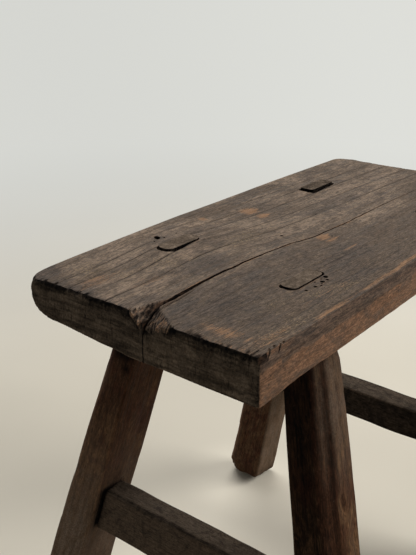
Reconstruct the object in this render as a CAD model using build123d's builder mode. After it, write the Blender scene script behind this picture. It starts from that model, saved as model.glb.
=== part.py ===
"""A plank stool on four splayed legs.

Each leg ends in a tenon that comes up through a slanted mortise in the seat, and a stretcher
joins the two legs of each end. Lengths are millimetres. The origin is on the floor under the
middle of the seat, +Z is up, X runs along the seat from the near end to the far end, and
+Y is its left side.
"""

import os
from math import atan, degrees

from build123d import *

# Seat plank
overall_height = 480.0
seat_length = 540.0
seat_width = 250.0
seat_thickness = 38.5
side_bow = 4.0
near_end_skew = 6.0
near_left_corner_radius = 11.0
near_right_corner_radius = 5.0
far_left_corner_radius = 16.0
far_right_corner_radius = 12.0
top_edge_rounding = 3.5
underside_edge_bevel = 2.5
wane_radius = 27.0
wane_overshoot = 0.6

# Drying check in the seat, and the chip that has split out of the near end beside it
check_width = 3.0
check_tip_depth = 4.0
chip_width = 34.0
chip_depth = 13.0
chip_length = 36.0

# Legs: an inset is from the seat's edge to a leg's outer face at its top, and a splay is how
# far that face stands further out at the foot
leg_inset_along = 105.0
leg_inset_across = 18.5
leg_splay_along = 61.0
leg_splay_across = 111.0
leg_top_width = 50.0
leg_top_thickness = 36.5
foot_width = 52.5
foot_thickness = 53.5
leg_corner_radius = 12.0
leg_arris_radius = 3.0
foot_bevel = 3.5

# Leg tenons, flush with the legs' inner faces at their shoulders
leg_tenon_width = 47.0
leg_tenon_thickness = 16.5
leg_tenon_corner_radius = 4.0
proudest_tenon = 1.8

# How far each tenon comes nearer to the middle of the stool on its way up through the seat
tenon_leans = {
    "near_left_leg": 15.5,
    "near_right_leg": 11.0,
    "far_left_leg": 10.5,
    "far_right_leg": 9.0,
}

# Room round each tenon at the worn mouth of its mortise, in the seat's top
mortise_mouth_rooms = {
    "near_left_leg": 0.6,
    "near_right_leg": 0.5,
    "far_left_leg": 1.5,
    "far_right_leg": 0.8,
}

# Stretchers
stretcher_top_height = 217.5
stretcher_height = 45.0
stretcher_thickness = 28.0
stretcher_setback = 6.5
stretcher_arris_radius = 2.5
stretcher_tenon_height = 32.0
stretcher_tenon_thickness = 13.0

# Room left round every tenon, and how far a cut runs past what it cuts
joint_clearance = 0.3
overrun = 10.0

# Path of the drying check from the near end: share of half the seat's length, share of half
# its width, and the share of the check's full width at that place
check_path_shares = [
    (-1.02, -0.13, 1.00),
    (-0.90, -0.07, 0.90),
    (-0.71, -0.07, 0.75),
    (-0.46, -0.10, 0.45),
    (-0.17, -0.12, 0.35),
    (0.10, -0.14, 0.30),
    (0.43, -0.155, 0.20),
    (0.58, -0.20, 0.00),
]

# The chip's middle as a share of half the seat's width, and how large the wedge is where it
# starts outside the plank and where it runs out in the seat, as shares of its full size
chip_across_share = -0.12
chip_mouth_share = 1.3
chip_tip_share = 0.05

# The wane runs along more than the seat's length, so that it passes through both ends
wane_run_share = 1.1

# The side of the stool that each piece stands on, along X and across Y
legs = {
    "near_left_leg": (-1, 1),
    "near_right_leg": (-1, -1),
    "far_left_leg": (1, 1),
    "far_right_leg": (1, -1),
}
stretchers = {"near_stretcher": -1, "far_stretcher": 1}

# How far each tenon stands above the seat, as a share of the proudest
proud_shares = {
    "near_left_leg": 0.3,
    "near_right_leg": 0.2,
    "far_left_leg": 1.0,
    "far_right_leg": 0.5,
}

# Places that follow from the sizes above
half_length = seat_length / 2
half_width = seat_width / 2
end_half_width = half_width - side_bow
seat_underside = overall_height - seat_thickness
bow_radius = (half_length**2 + side_bow**2) / (2 * side_bow)
leg_top_reach_along = half_length - leg_inset_along
leg_top_reach_across = half_width - leg_inset_across
foot_reach_along = leg_top_reach_along + leg_splay_along
foot_reach_across = leg_top_reach_across + leg_splay_across
leg_roll = degrees(atan(leg_splay_along / seat_underside))


def along_leg(foot_value, top_value, height):
    """A leg's size or place at a height, on the straight line from its foot to its shoulder."""
    return foot_value + (top_value - foot_value) * height / seat_underside


def outer_along(height):
    return along_leg(foot_reach_along, leg_top_reach_along, height)


def outer_across(height):
    return along_leg(foot_reach_across, leg_top_reach_across, height)


def inner_along(height):
    return along_leg(foot_reach_along - foot_width, leg_top_reach_along - leg_top_width, height)


def inner_across(height):
    foot_value = foot_reach_across - foot_thickness
    top_value = leg_top_reach_across - leg_top_thickness
    return along_leg(foot_value, top_value, height)


def leg_section(side_along, side_across, height, inset=0):
    """Level section of a leg: a rectangle with the two corners of its outer side well rounded."""
    width = outer_along(height) - inner_along(height) - 2 * inset
    thickness = outer_across(height) - inner_across(height) - 2 * inset
    middle = (
        side_along * (outer_along(height) + inner_along(height)) / 2,
        side_across * (outer_across(height) + inner_across(height)) / 2,
    )
    with BuildSketch(Plane.XY.offset(height)) as section:
        with Locations(middle):
            Rectangle(width, thickness)
        outer_corners = section.vertices().sort_by(Axis.Y, reverse=side_across > 0)[:2]
        fillet(outer_corners, leg_corner_radius)
        inner_corners = section.vertices().sort_by(Axis.Y, reverse=side_across < 0)[:2]
        fillet(inner_corners, leg_arris_radius)
    return section.sketch


def tenon_section(name, height, room=0):
    """Level section of a leg's tenon or, with room round it, of its mortise."""
    (side_along, side_across) = legs[name]
    rise_share = (height - seat_underside) / seat_thickness
    inner_end = inner_along(seat_underside) - tenon_leans[name] * rise_share
    middle = (
        side_along * (inner_end + leg_tenon_width / 2),
        side_across * (inner_across(height) + leg_tenon_thickness / 2),
    )
    with BuildSketch(Plane.XY.offset(height)) as section:
        with Locations(middle):
            RectangleRounded(
                leg_tenon_width + 2 * room,
                leg_tenon_thickness + 2 * room,
                leg_tenon_corner_radius + room,
            )
    return section.sketch


def mortise_section(name, height):
    """Level section of a mortise, which is close at the leg's shoulder and opens to its mouth."""
    rise_share = (height - seat_underside) / seat_thickness
    room = joint_clearance + (mortise_mouth_rooms[name] - joint_clearance) * rise_share
    return tenon_section(name, height, room)


def stretcher_plane(side_along):
    """Plane through a stretcher's middle, rolled to lie with the outer faces of its legs."""
    rolled = Plane.XZ.rotated((0, -side_along * leg_roll, 0))
    on_leg_face = Vector(side_along * outer_along(stretcher_top_height), 0, stretcher_top_height)
    inwards = rolled.x_dir * -side_along * (stretcher_setback + stretcher_thickness / 2)
    downwards = rolled.y_dir * -stretcher_height / 2
    return Plane(on_leg_face + inwards + downwards, x_dir=rolled.x_dir, z_dir=rolled.z_dir)


def stretcher_outline(reach_across):
    """Upright outline, seen along X, whose two ends lie on leaning faces of the legs."""
    low = stretcher_top_height - stretcher_height - overrun
    high = stretcher_top_height + overrun
    with BuildSketch(Plane.YZ) as outline:
        with BuildLine():
            Polyline(
                (-reach_across(low), low),
                (reach_across(low), low),
                (reach_across(high), high),
                (-reach_across(high), high),
                close=True,
            )
        make_face()
    return outline.sketch


def chip_section(along, size_share):
    """The split-out wedge at one place along the seat, open at the top."""
    middle = chip_across_share * half_width
    side = size_share * chip_width / 2
    with BuildSketch(Plane.YZ.offset(along)) as section:
        with BuildLine():
            Polyline(
                (middle - side, overall_height + overrun),
                (middle - side, overall_height),
                (middle, overall_height - size_share * chip_depth),
                (middle + side, overall_height),
                (middle + side, overall_height + overrun),
                close=True,
            )
        make_face()
    return section.sketch


os.makedirs("parts", exist_ok=True)

# The drying check, as deep as the plank at the near end and shallow at its tip
check_path = [
    (x_share * half_length, y_share * half_width, width_share * check_width / 2)
    for x_share, y_share, width_share in check_path_shares
]
check_right_side = [(x, y - half_gap) for x, y, half_gap in check_path]
check_left_side = [(x, y + half_gap) for x, y, half_gap in check_path[-2::-1]]
check_tip_along = check_path[-1][0]

with BuildPart() as check:
    with BuildSketch(Plane.XY.offset(seat_underside - overrun)):
        with BuildLine():
            Polyline(*check_right_side, *check_left_side, close=True)
        make_face()
    extrude(amount=seat_thickness + 2 * overrun)
    with BuildSketch(Plane.XZ):
        with BuildLine():
            Polyline(
                (-half_length - overrun, overall_height + overrun),
                (check_tip_along, overall_height + overrun),
                (check_tip_along, overall_height - check_tip_depth),
                (-half_length - overrun, seat_underside - overrun),
                close=True,
            )
        make_face()
    extrude(amount=half_width, both=True, mode=Mode.INTERSECT)

# The wane: what the log's own round surface leaves off the seat's lower left edge. Its round
# overshoots the plank's side and underside a little, so it meets each at a slight angle.
wane_reach = wane_run_share * degrees(half_length / bow_radius)
with BuildLine(Plane.XY.offset(seat_underside)) as left_side:
    CenterArc((0, half_width - bow_radius), bow_radius, 90 + wane_reach, -2 * wane_reach)
left_edge = left_side.line
wane_centre = wane_radius - wane_overshoot

with BuildPart() as wane:
    with BuildSketch(Plane(left_edge @ 0, x_dir=(0, 1, 0), z_dir=left_edge % 0)):
        with BuildLine():
            CenterArc((-wane_centre, wane_centre), wane_radius, -90, 90)
            Polyline(
                (wane_overshoot, wane_centre),
                (overrun, wane_centre),
                (overrun, -overrun),
                (-wane_centre, -overrun),
                (-wane_centre, -wane_overshoot),
            )
        make_face()
    sweep(path=left_edge)

# Seat
seat_corners = [
    ((-half_length, -end_half_width), near_right_corner_radius),
    ((-half_length, end_half_width), near_left_corner_radius),
    ((half_length, -end_half_width), far_right_corner_radius),
    ((half_length, end_half_width), far_left_corner_radius),
]
(near_right, near_left, far_right, far_left) = [corner for corner, radius in seat_corners]

with BuildPart() as seat:
    with BuildSketch(Plane.XY.offset(seat_underside)) as plan:
        with BuildLine():
            ThreePointArc(near_right, (0, -half_width), far_right)
            Line(far_right, far_left)
            ThreePointArc(far_left, (0, half_width), near_left)
            Line(near_left, near_right)
        make_face()
        with BuildLine():
            Polyline(
                (-half_length, -half_width),
                (-half_length, half_width),
                (-half_length + near_end_skew, half_width),
                close=True,
            )
        make_face(mode=Mode.SUBTRACT)
        for corner, radius in seat_corners:
            fillet(plan.vertices().sort_by_distance((*corner, seat_underside))[0], radius)
    extrude(amount=seat_thickness)
    fillet(seat.faces().sort_by(Axis.Z)[-1].edges(), top_edge_rounding)
    chamfer(seat.faces().sort_by(Axis.Z)[0].edges(), underside_edge_bevel)
    add(wane.part, mode=Mode.SUBTRACT)

    # Mortises that slant both ways, as the tenons do
    mortise_heights = (seat_underside - overrun, overall_height + overrun)
    for name in legs:
        loft([mortise_section(name, height) for height in mortise_heights], mode=Mode.SUBTRACT)

    add(check.part, mode=Mode.SUBTRACT)
    loft(
        [
            chip_section(-half_length - overrun, chip_mouth_share),
            chip_section(-half_length + chip_length, chip_tip_share),
        ],
        mode=Mode.SUBTRACT,
    )

seat.part.label = "seat"
export_step(seat.part, "parts/seat.step")

# Legs, each with its tenon and a mortise for the stretcher
for name, (side_along, side_across) in legs.items():
    tenon_top = overall_height + proud_shares[name] * proudest_tenon
    with BuildPart() as leg:
        loft(
            [
                leg_section(side_along, side_across, 0, inset=foot_bevel),
                leg_section(side_along, side_across, foot_bevel),
                leg_section(side_along, side_across, seat_underside),
            ],
            ruled=True,
        )
        loft([tenon_section(name, height) for height in (seat_underside, tenon_top)])
        with BuildSketch(stretcher_plane(side_along)):
            Rectangle(
                stretcher_tenon_thickness + 2 * joint_clearance,
                stretcher_tenon_height + 2 * joint_clearance,
            )
        extrude(amount=foot_reach_across, both=True, mode=Mode.SUBTRACT)

    leg.part.label = name
    export_step(leg.part, f"parts/{name}.step")

# Stretchers: the shoulders lie on the legs' inner faces and the tenons end on the outer ones
for name, side_along in stretchers.items():
    with BuildPart() as bar:
        with BuildSketch(stretcher_plane(side_along)) as bar_section:
            Rectangle(stretcher_thickness, stretcher_height)
            fillet(bar_section.vertices(), stretcher_arris_radius)
        extrude(amount=foot_reach_across, both=True)
        extrude(
            stretcher_outline(inner_across),
            amount=foot_reach_along,
            both=True,
            mode=Mode.INTERSECT,
        )

    with BuildPart() as stretcher:
        with BuildSketch(stretcher_plane(side_along)):
            Rectangle(stretcher_tenon_thickness, stretcher_tenon_height)
        extrude(amount=foot_reach_across, both=True)
        extrude(
            stretcher_outline(outer_across),
            amount=foot_reach_along,
            both=True,
            mode=Mode.INTERSECT,
        )
        add(bar.part)

    stretcher.part.label = name
    export_step(stretcher.part, f"parts/{name}.step")
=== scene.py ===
"""A weathered plank stool on four splayed legs, dressed around its construction model.

The plank, the legs and the stretchers are cut from blocks, worn and given a wood that
follows each piece's own grain. Lengths are metres. X runs along the seat from its near end to
its far end, +Y is its left side and +Z is up.
"""

from math import atan, pi, radians
from types import SimpleNamespace

import bmesh
import bpy
import numpy as np
from bpy.props import FloatProperty, FloatVectorProperty, PointerProperty
from mathutils import Euler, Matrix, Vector, noise


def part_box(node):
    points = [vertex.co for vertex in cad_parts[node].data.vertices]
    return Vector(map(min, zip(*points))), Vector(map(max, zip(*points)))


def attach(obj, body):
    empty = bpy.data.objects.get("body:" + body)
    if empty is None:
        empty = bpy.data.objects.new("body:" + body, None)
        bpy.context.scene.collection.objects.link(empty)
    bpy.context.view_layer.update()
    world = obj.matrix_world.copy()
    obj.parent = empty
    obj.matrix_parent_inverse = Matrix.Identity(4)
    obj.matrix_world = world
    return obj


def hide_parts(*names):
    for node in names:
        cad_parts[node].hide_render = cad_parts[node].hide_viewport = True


bl_info = {
    "name": "Plank Stool",
    "version": (1, 0, 0),
    "blender": (4, 5, 0),
    "location": "View3D > Sidebar > Stool",
    "description": "Builds a weathered plank stool on splayed legs around its construction model",
    "category": "Add Mesh",
}

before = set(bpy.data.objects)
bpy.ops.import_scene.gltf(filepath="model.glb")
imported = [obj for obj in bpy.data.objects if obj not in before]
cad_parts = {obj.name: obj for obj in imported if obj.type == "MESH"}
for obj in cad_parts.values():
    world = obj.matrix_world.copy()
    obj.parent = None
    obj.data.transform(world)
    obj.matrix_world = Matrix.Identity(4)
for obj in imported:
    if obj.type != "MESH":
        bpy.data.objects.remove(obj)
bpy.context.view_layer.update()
seat_low, seat_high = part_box("seat")

# The side of the stool that each leg stands on, along X and across Y
LEG_SIDES = {
    "near_left_leg": (-1, 1),
    "near_right_leg": (-1, -1),
    "far_left_leg": (1, 1),
    "far_right_leg": (1, -1),
}
STRETCHER_SIDES = {"near_stretcher": -1, "far_stretcher": 1}

# How much lower and how much slimmer the far stretcher is than the near one
FAR_STRETCHER_DROP = 0.0030
FAR_STRETCHER_SLIMNESS = 0.0060

# Form of each leg against its block: height, how far its outer face along X stands further out
# and how far its inner face stands nearer to the middle
LEG_FORMS = {
    "near_left_leg": [
        (0.0, 0.0042, 0.0015),
        (0.1700, 0.0043, 0.0040),
        (0.2050, 0.0033, 0.0055),
        (0.2400, 0.0016, 0.0070),
        (0.2700, 0.0013, 0.0078),
        (0.3000, 0.0001, 0.0078),
        (0.3330, -0.0018, 0.0084),
        (0.3570, -0.0031, 0.0077),
        (0.4420, -0.0058, 0.0077),
    ],
    "near_right_leg": [
        (0.0, 0.0010, -0.0004),
        (0.2500, 0.0008, -0.0003),
        (0.3000, 0.0006, -0.0004),
        (0.3300, 0.0002, -0.0011),
        (0.3500, 0.0, -0.0023),
        (0.3900, 0.0, -0.0047),
        (0.4200, -0.0002, -0.0085),
        (0.4420, -0.0004, -0.0125),
    ],
    "far_left_leg": [(0.0, -0.0164, 0.0134), (0.1050, -0.0120, 0.0098), (0.4420, -0.0014, 0.0020)],
    "far_right_leg": [(0.0, -0.0040, 0.0030), (0.3300, -0.0010, 0.0), (0.4420, -0.0010, -0.0040)],
}

# How round the outer half of each leg's section is worn, at its foot and at its neck
LEG_ROUNDNESS = {
    "near_left_leg": (0.10, 0.15),
    "near_right_leg": (0.35, 0.65),
    "far_left_leg": (0.12, 0.10),
    "far_right_leg": (0.20, 0.35),
}

# Facet hewn along a leg's outer corner: where it starts across the face, from the inner side to
# the outer, and its slope
LEG_FACETS = {"near_right_leg": (0.68, 0.45)}

# Radius of each foot's worn lower edge, how far its inner side is worn off the floor and how
# round its outer corners are worn just above the floor
FOOT_WEAR = {
    "near_left_leg": (0.0050, 0.0010, 0.15),
    "near_right_leg": (0.0055, 0.0010, 0.20),
    "far_left_leg": (0.0100, 0.0088, 0.90),
    "far_right_leg": (0.0080, 0.0020, 0.30),
}

# How far the outer and the inner face across Y stand nearer to the middle at a leg's foot
FOOT_SHIFTS = {"far_left_leg": (0.0003, 0.0024)}

# Soot and painted shade on each leg's outer face along X, how much paler or darker its inner face
# across Y is painted, as light and shade under the seat, and the grime on its tenon's end
LEG_TONES = {
    "near_left_leg": (0.10, -0.12, 0.12),
    "near_right_leg": (0.88, 0.0, 0.12),
    "far_left_leg": (0.0, 0.50, 0.38),
    "far_right_leg": (0.30, 0.0, 0.38),
}

# Dust on each leg: the heights where it starts and is full, then how much of it lies on the
# faces along X, on the inner side and on the outer side
LEG_DUST = {
    "near_left_leg": (0.320, 0.130, 0.72, 0.38, 0.70),
    "near_right_leg": (0.290, 0.400, 0.0, 0.0, 0.50),
    "far_left_leg": (0.500, 0.450, 0.0, 0.55, 0.0),
    "far_right_leg": (0.300, 0.140, 0.20, 0.0, 0.0),
}

# Black spots at the top of a leg's outer face: height, place across it and reach
ARRIS_SPOTS = {
    "near_left_leg": [
        (0.3740, 0.0010, 0.0050),
        (0.3720, -0.0080, 0.0048),
        (0.3770, -0.0145, 0.0048),
        (0.3590, -0.0100, 0.0036),
        (0.3800, 0.0060, 0.0050),
    ]
}

# How far each tenon comes nearer to the middle on its way up, and its height above the seat
TENON_LEANS = {
    "near_left_leg": 0.0155,
    "near_right_leg": 0.0110,
    "far_left_leg": 0.0105,
    "far_right_leg": 0.0090,
}
TENON_RISES = {
    "near_left_leg": 0.0004,
    "near_right_leg": 0.0002,
    "far_left_leg": 0.0016,
    "far_right_leg": 0.0008,
}

# How far each tenon stands towards the middle from its place in the block, along X and across Y
TENON_SHIFTS = {
    "near_left_leg": (0.0006, -0.0008),
    "near_right_leg": (-0.0019, 0.0025),
    "far_left_leg": (0.0, 0.0),
    "far_right_leg": (0.0, 0.0),
}

# Radius of each tenon's upright corners
TENON_ROUNDINGS = {
    "near_left_leg": 0.0065,
    "near_right_leg": 0.0055,
    "far_left_leg": 0.0030,
    "far_right_leg": 0.0035,
}

# Gap that shows round each tenon: towards the middle along X, away from it, towards the middle
# across Y, away from it, and how much wider the last two are towards the seat's near end
MORTISE_GAPS = {
    "near_left_leg": (0.0002, 0.0036, 0.0036, 0.0001, 0.6),
    "near_right_leg": (0.0036, 0.0019, 0.0008, 0.0008, 0.0),
    "far_left_leg": (0.0042, 0.0012, 0.0040, 0.0001, 0.3),
    "far_right_leg": (0.0012, 0.0004, 0.0002, 0.0014, 0.0),
}

# The drying crack in the seat: place along X, place across Y, width and depth
CRACK = [
    (-0.270, -0.0145, 0.0016, 0.020),
    (-0.262, -0.0125, 0.0022, 0.022),
    (-0.245, -0.0100, 0.0034, 0.024),
    (-0.234, -0.0096, 0.0042, 0.025),
    (-0.223, -0.0089, 0.0044, 0.026),
    (-0.211, -0.0078, 0.0040, 0.027),
    (-0.199, -0.0069, 0.0032, 0.027),
    (-0.177, -0.0058, 0.0028, 0.026),
    (-0.155, -0.0059, 0.0026, 0.026),
    (-0.132, -0.0066, 0.0022, 0.024),
    (-0.109, -0.0076, 0.0019, 0.022),
    (-0.086, -0.0098, 0.0016, 0.021),
    (-0.066, -0.0117, 0.0014, 0.019),
    (-0.055, -0.0138, 0.0012, 0.018),
    (-0.044, -0.0170, 0.0014, 0.017),
    (-0.021, -0.0206, 0.0014, 0.015),
    (0.010, -0.0220, 0.0013, 0.013),
    (0.027, -0.0232, 0.0012, 0.011),
    (0.070, -0.0228, 0.0009, 0.009),
    (0.112, -0.0236, 0.0007, 0.006),
    (0.156, -0.0255, 0.0004, 0.003),
    (0.180, -0.0262, 0.0002, 0.001),
    (0.200, -0.0265, 0.0001, 0.000),
    (0.270, -0.0280, 0.0001, 0.000),
]

# A second split in the chip: place along X and distance left of the crack
CHIP_BRANCH = [
    (-0.270, 0.0006),
    (-0.264, 0.0028),
    (-0.256, 0.0052),
    (-0.246, 0.0050),
    (-0.238, 0.0028),
    (-0.228, 0.0012),
]

# Dark grain lines of the seat: place across Y at the near end and strength
GRAIN_LINES = [
    (0.1140, 0.45),
    (0.1025, 0.60),
    (0.0900, 0.85),
    (0.0745, 0.90),
    (0.0640, 0.30),
    (0.0530, 0.90),
    (0.0325, 0.90),
    (0.0215, 0.20),
    (0.0120, 0.35),
    (-0.0190, 0.15),
    (-0.0330, 0.25),
    (-0.0420, 0.15),
    (-0.0590, 0.30),
    (-0.0700, 0.20),
    (-0.0840, 0.35),
    (-0.0930, 0.25),
    (-0.1030, 0.45),
    (-0.1090, 0.30),
    (-0.1150, 0.40),
]

# Patches of the seat rubbed down to orange wood: place along X and across Y, reach each way and
# strength
RUBBED_PATCHES = [
    (0.001, 0.076, 0.013, 0.010, 1.0),
    (-0.003, 0.056, 0.010, 0.006, 1.0),
    (-0.023, -0.027, 0.010, 0.007, 1.0),
    (-0.024, -0.037, 0.012, 0.003, 0.9),
    (-0.052, 0.097, 0.005, 0.006, 0.9),
    (-0.068, -0.0585, 0.022, 0.0010, 0.75),
    (-0.032, -0.0612, 0.018, 0.0014, 0.9),
    (-0.030, 0.104, 0.030, 0.0020, 0.5),
    (-0.236, 0.066, 0.030, 0.012, 0.42),
    (-0.205, 0.030, 0.040, 0.012, 0.36),
    (-0.250, -0.075, 0.010, 0.030, 0.55),
    (-0.235, -0.108, 0.030, 0.010, 0.42),
    (-0.130, -0.100, 0.050, 0.008, 0.40),
    (-0.120, 0.050, 0.040, 0.020, 0.25),
]

# Paler or darker patches of the seat: place along X and across Y, reach each way and amount
PALE_PATCHES = [
    (-0.270, 0.125, 0.045, 0.060, -0.42),
    (-0.095, 0.094, 0.026, 0.016, 0.26),
    (-0.168, 0.045, 0.018, 0.014, -0.16),
    (-0.170, 0.022, 0.018, 0.010, 0.14),
    (-0.225, 0.006, 0.030, 0.010, 0.14),
    (0.010, 0.006, 0.060, 0.015, 0.22),
    (0.110, 0.015, 0.060, 0.018, 0.22),
    (0.060, -0.038, 0.040, 0.014, 0.20),
    (-0.175, -0.030, 0.020, 0.012, 0.14),
    (0.170, 0.088, 0.025, 0.010, 0.12),
]

# Stains on the seat: place along X and across Y, reach each way
STAINS = [
    (-0.205, -0.048, 0.034, 0.018),
    (-0.150, -0.030, 0.020, 0.010),
    (-0.055, -0.070, 0.040, 0.014),
    (-0.258, 0.108, 0.020, 0.026),
    (-0.232, -0.026, 0.014, 0.010),
    (-0.262, 0.060, 0.006, 0.050),
    (-0.120, -0.100, 0.060, 0.006),
    (0.090, 0.020, 0.050, 0.012),
    (-0.160, 0.020, 0.030, 0.012),
]

# Patches of the seat with many straw-coloured flecks: place along X and across Y, reach each way
FLECKED_PATCHES = [
    (-0.120, -0.101, 0.034, 0.009),
    (-0.150, -0.094, 0.016, 0.007),
    (-0.185, -0.078, 0.022, 0.008),
    (-0.215, -0.108, 0.040, 0.010),
    (-0.170, 0.045, 0.030, 0.020),
    (-0.225, 0.085, 0.024, 0.022),
    (-0.205, 0.060, 0.020, 0.014),
    (-0.060, 0.030, 0.050, 0.014),
]

# How far the lower edge of the near end is worn up: place across Y and height
END_WEAR = [
    (0.0, 0.0),
    (0.0190, 0.0019),
    (0.0305, 0.0023),
    (0.0425, 0.0034),
    (0.0550, 0.0046),
    (0.0670, 0.0056),
    (0.0795, 0.0068),
    (0.0920, 0.0079),
    (0.1050, 0.0088),
    (0.1250, 0.0095),
]

# Small holes in the seat: place along X and across Y, and radius
BORINGS = [
    (-0.1118, -0.0800, 0.0023),
    (-0.1152, -0.0838, 0.0016),
    (-0.1212, -0.0838, 0.0022),
    (-0.1262, -0.0848, 0.0011),
    (-0.1305, -0.0862, 0.0012),
    (-0.1345, -0.0846, 0.0016),
    (-0.1172, -0.0795, 0.0010),
    (-0.1470, -0.0819, 0.0015),
    (-0.1275, -0.0795, 0.0009),
    (-0.1024, 0.0904, 0.0012),
    (-0.1200, 0.0916, 0.0013),
    (-0.1350, 0.0905, 0.0010),
    (-0.0460, 0.0060, 0.0018),
    (-0.0150, -0.0315, 0.0009),
]

# Nicks in the arris of the near right corner: place along X and across Y, and length
NICKS = [
    (-0.2562, -0.1188, 1.3),
    (-0.2486, -0.1168, 0.7),
    (-0.2440, -0.1196, 1.0),
    (-0.2385, -0.1180, 0.6),
]
KNOT_HOLE = (-0.1245, 0.0962)

# Cuts of the seat's block along X, across Y and through its thickness: each number cuts every
# cell that the one before it left
SEAT_CUTS = ((12, 10), (22, 10), (15,))

# Reach of the chip to the left and the right of the crack, and its length on the right as a
# share of that on the left
CHIP_LEFT_REACH = 0.0165
CHIP_RIGHT_REACH = 0.0300
CHIP_RIGHT_LENGTH_SHARE = 0.55

# How far right of the crack's edge the long splinter in the chip came loose
SPLINTER_OFFSET = 0.0024

# How deep in the plank its mortises' and holes' walls are painted black as shade
WALL_DEPTH = 0.0365

# How far a cutter passes the faces that it cuts, and the gap round a tenon at the plank's bottom
CUT_OVERRUN = 0.005
MORTISE_LOWER_GAP = 0.0003

# How far a tenon starts inside its leg, and how far a stretcher's tenon ends inside the leg's face
TENON_OVERLAP = 0.010
TENON_SETBACK = 0.0008

# Room in a leg's slot beside the stretcher's tenon, and above and below it
SLOT_ROOM = 0.0012
SLOT_ROOM_ABOVE = 0.0014

# Patterns of the wood: wavelengths along, across and in depth of the grain, detail, distortion
WOOD_PATTERNS = {
    "blotches": ((0.060, 0.026, 0.026), 4.0, 0.5),
    "stains": ((0.034, 0.022, 0.022), 5.0, 1.2),
    "streaks": ((0.055, 0.0042, 0.0042), 4.0, 0.3),
    "strands": ((0.022, 0.0020, 0.0020), 3.0, 0.2),
    "fibres": ((0.009, 0.0008, 0.0008), 2.0, 0.0),
    "mottle": ((0.0075, 0.0042, 0.0042), 4.0, 0.6),
    "flecks": ((0.0026, 0.0011, 0.0011), 2.0, 0.0),
    "pores": ((0.0062, 0.00065, 0.00065), 1.0, 0.0),
    "pits": ((0.0018, 0.0018, 0.0018), 3.0, 0.0),
    "speckles": ((0.0030, 0.0016, 0.0016), 4.0, 0.4),
    "bands": ((1.0, 0.034, 0.0036), 4.0, 0.5),
    "checks": ((1.0, 0.0016, 0.013), 3.0, 0.6),
}

# What each piece keeps on its points for its wood
WEAR_FIELDS = "ring line rubbed grime end_grain flank bleach stained flecked".split()
# Black of soot and grime, which also paints the shade in cracks, open joints and hollows
SOOT_AND_SHADE = (0.0042, 0.0038, 0.0038)

# The view's right and the way back to the camera, along the floor
VIEW_RIGHT = (0.61, -0.79, 0)
VIEW_BACK = (-0.79, -0.61, 0)

# Painted light on the floor: paler patches that lift the shadow under the stool and by the far
# left foot, and a paler pool towards the right of the view; middle, distance to the edge and to
# the core, and gain
FLOOR_PATCHES = [
    ((0.03, 0.12, 0), 0.22, 0.06, 1.15),
    ((0.72, 0.22, 0), 0.42, 0.10, 1.075),
    ((0.17, 0.19, 0), 0.11, 0.03, 1.16),
]

# Soft lamps: name, place, size, power and colour, and the place that they look at
LAMPS = [
    ("window_lamp", (1.3, -2.0, 2.1), 1.6, 62, (1.0, 0.97, 0.93)),
    ("top_lamp", (0.8, 1.0, 2.8), 2.2, 56, (1.0, 0.98, 0.96)),
]
LAMP_TARGET = (0, 0, 0.35)

# Colour and strength of the soft light from all round
FILL_LIGHT = ((1.0, 0.98, 0.96, 1.0), 0.205)


def length_property(name, description, default):
    return FloatProperty(
        name=name, description=description, default=default, unit="LENGTH", subtype="DISTANCE"
    )


def colour_property(name, description, default):
    return FloatVectorProperty(
        name=name, description=description, default=default, subtype="COLOR", min=0, max=1
    )


class SeatSettings(bpy.types.PropertyGroup):
    """Sizes and colours of the seat plank."""

    wane_radius: length_property("Wane", "Round of the log left on the lower left edge", 0.027)
    near_left_corner: length_property("Near left corner", "Radius of the corner", 0.014)
    near_right_corner: length_property("Near right corner", "Radius of the corner", 0.004)
    far_left_corner: length_property("Far left corner", "Radius of the corner", 0.017)
    far_right_corner: length_property("Far right corner", "Radius of the corner", 0.012)
    top_rounding: length_property("Top rounding", "Rounding of the top edges", 0.0035)
    right_rounding: length_property("Right rounding", "Rounding of the right top edge", 0.010)
    bottom_rounding: length_property("Bottom rounding", "Rounding of the bottom edges", 0.0025)
    side_bow: length_property("Side bow", "How far the sides come in at the ends", 0.0038)
    end_step: length_property("End step", "How far the end is set back left of the crack", 0.0048)
    left_thinning: length_property("Thinning", "How much thinner the left side is", 0.0004)
    chip_depth: length_property("Chip depth", "Depth of the chip in the near end", 0.0090)
    chip_length: length_property("Chip length", "Length of the chip along the seat", 0.046)
    line_depth: length_property("Line depth", "Depth of the open grain lines", 0.0005)
    # The pale tan also paints the sheen on the top towards the near left
    pale: colour_property("Pale wood", "Bleached tan", (0.168, 0.123, 0.089))
    body: colour_property("Grey-brown wood", "Main colour of the top", (0.081, 0.0580, 0.0415))
    dark: colour_property("Dark grain", "Grain and stains", (0.020, 0.0145, 0.0115))
    rubbed: colour_property("Rubbed wood", "Orange wood where it is worn", (0.230, 0.128, 0.068))
    cut: colour_property("End grain", "Weathered end grain", (0.068, 0.052, 0.038))
    flank: colour_property("Side face", "Red-brown of the sides", (0.154, 0.080, 0.045))
    # The stain colour also paints the blue-grey reflection along the right arris
    stain: colour_property("Stain", "Blue-grey stains on the top", (0.060, 0.045, 0.036))
    fleck: colour_property("Flecks", "Straw-coloured flecks", (0.300, 0.215, 0.120))


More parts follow.
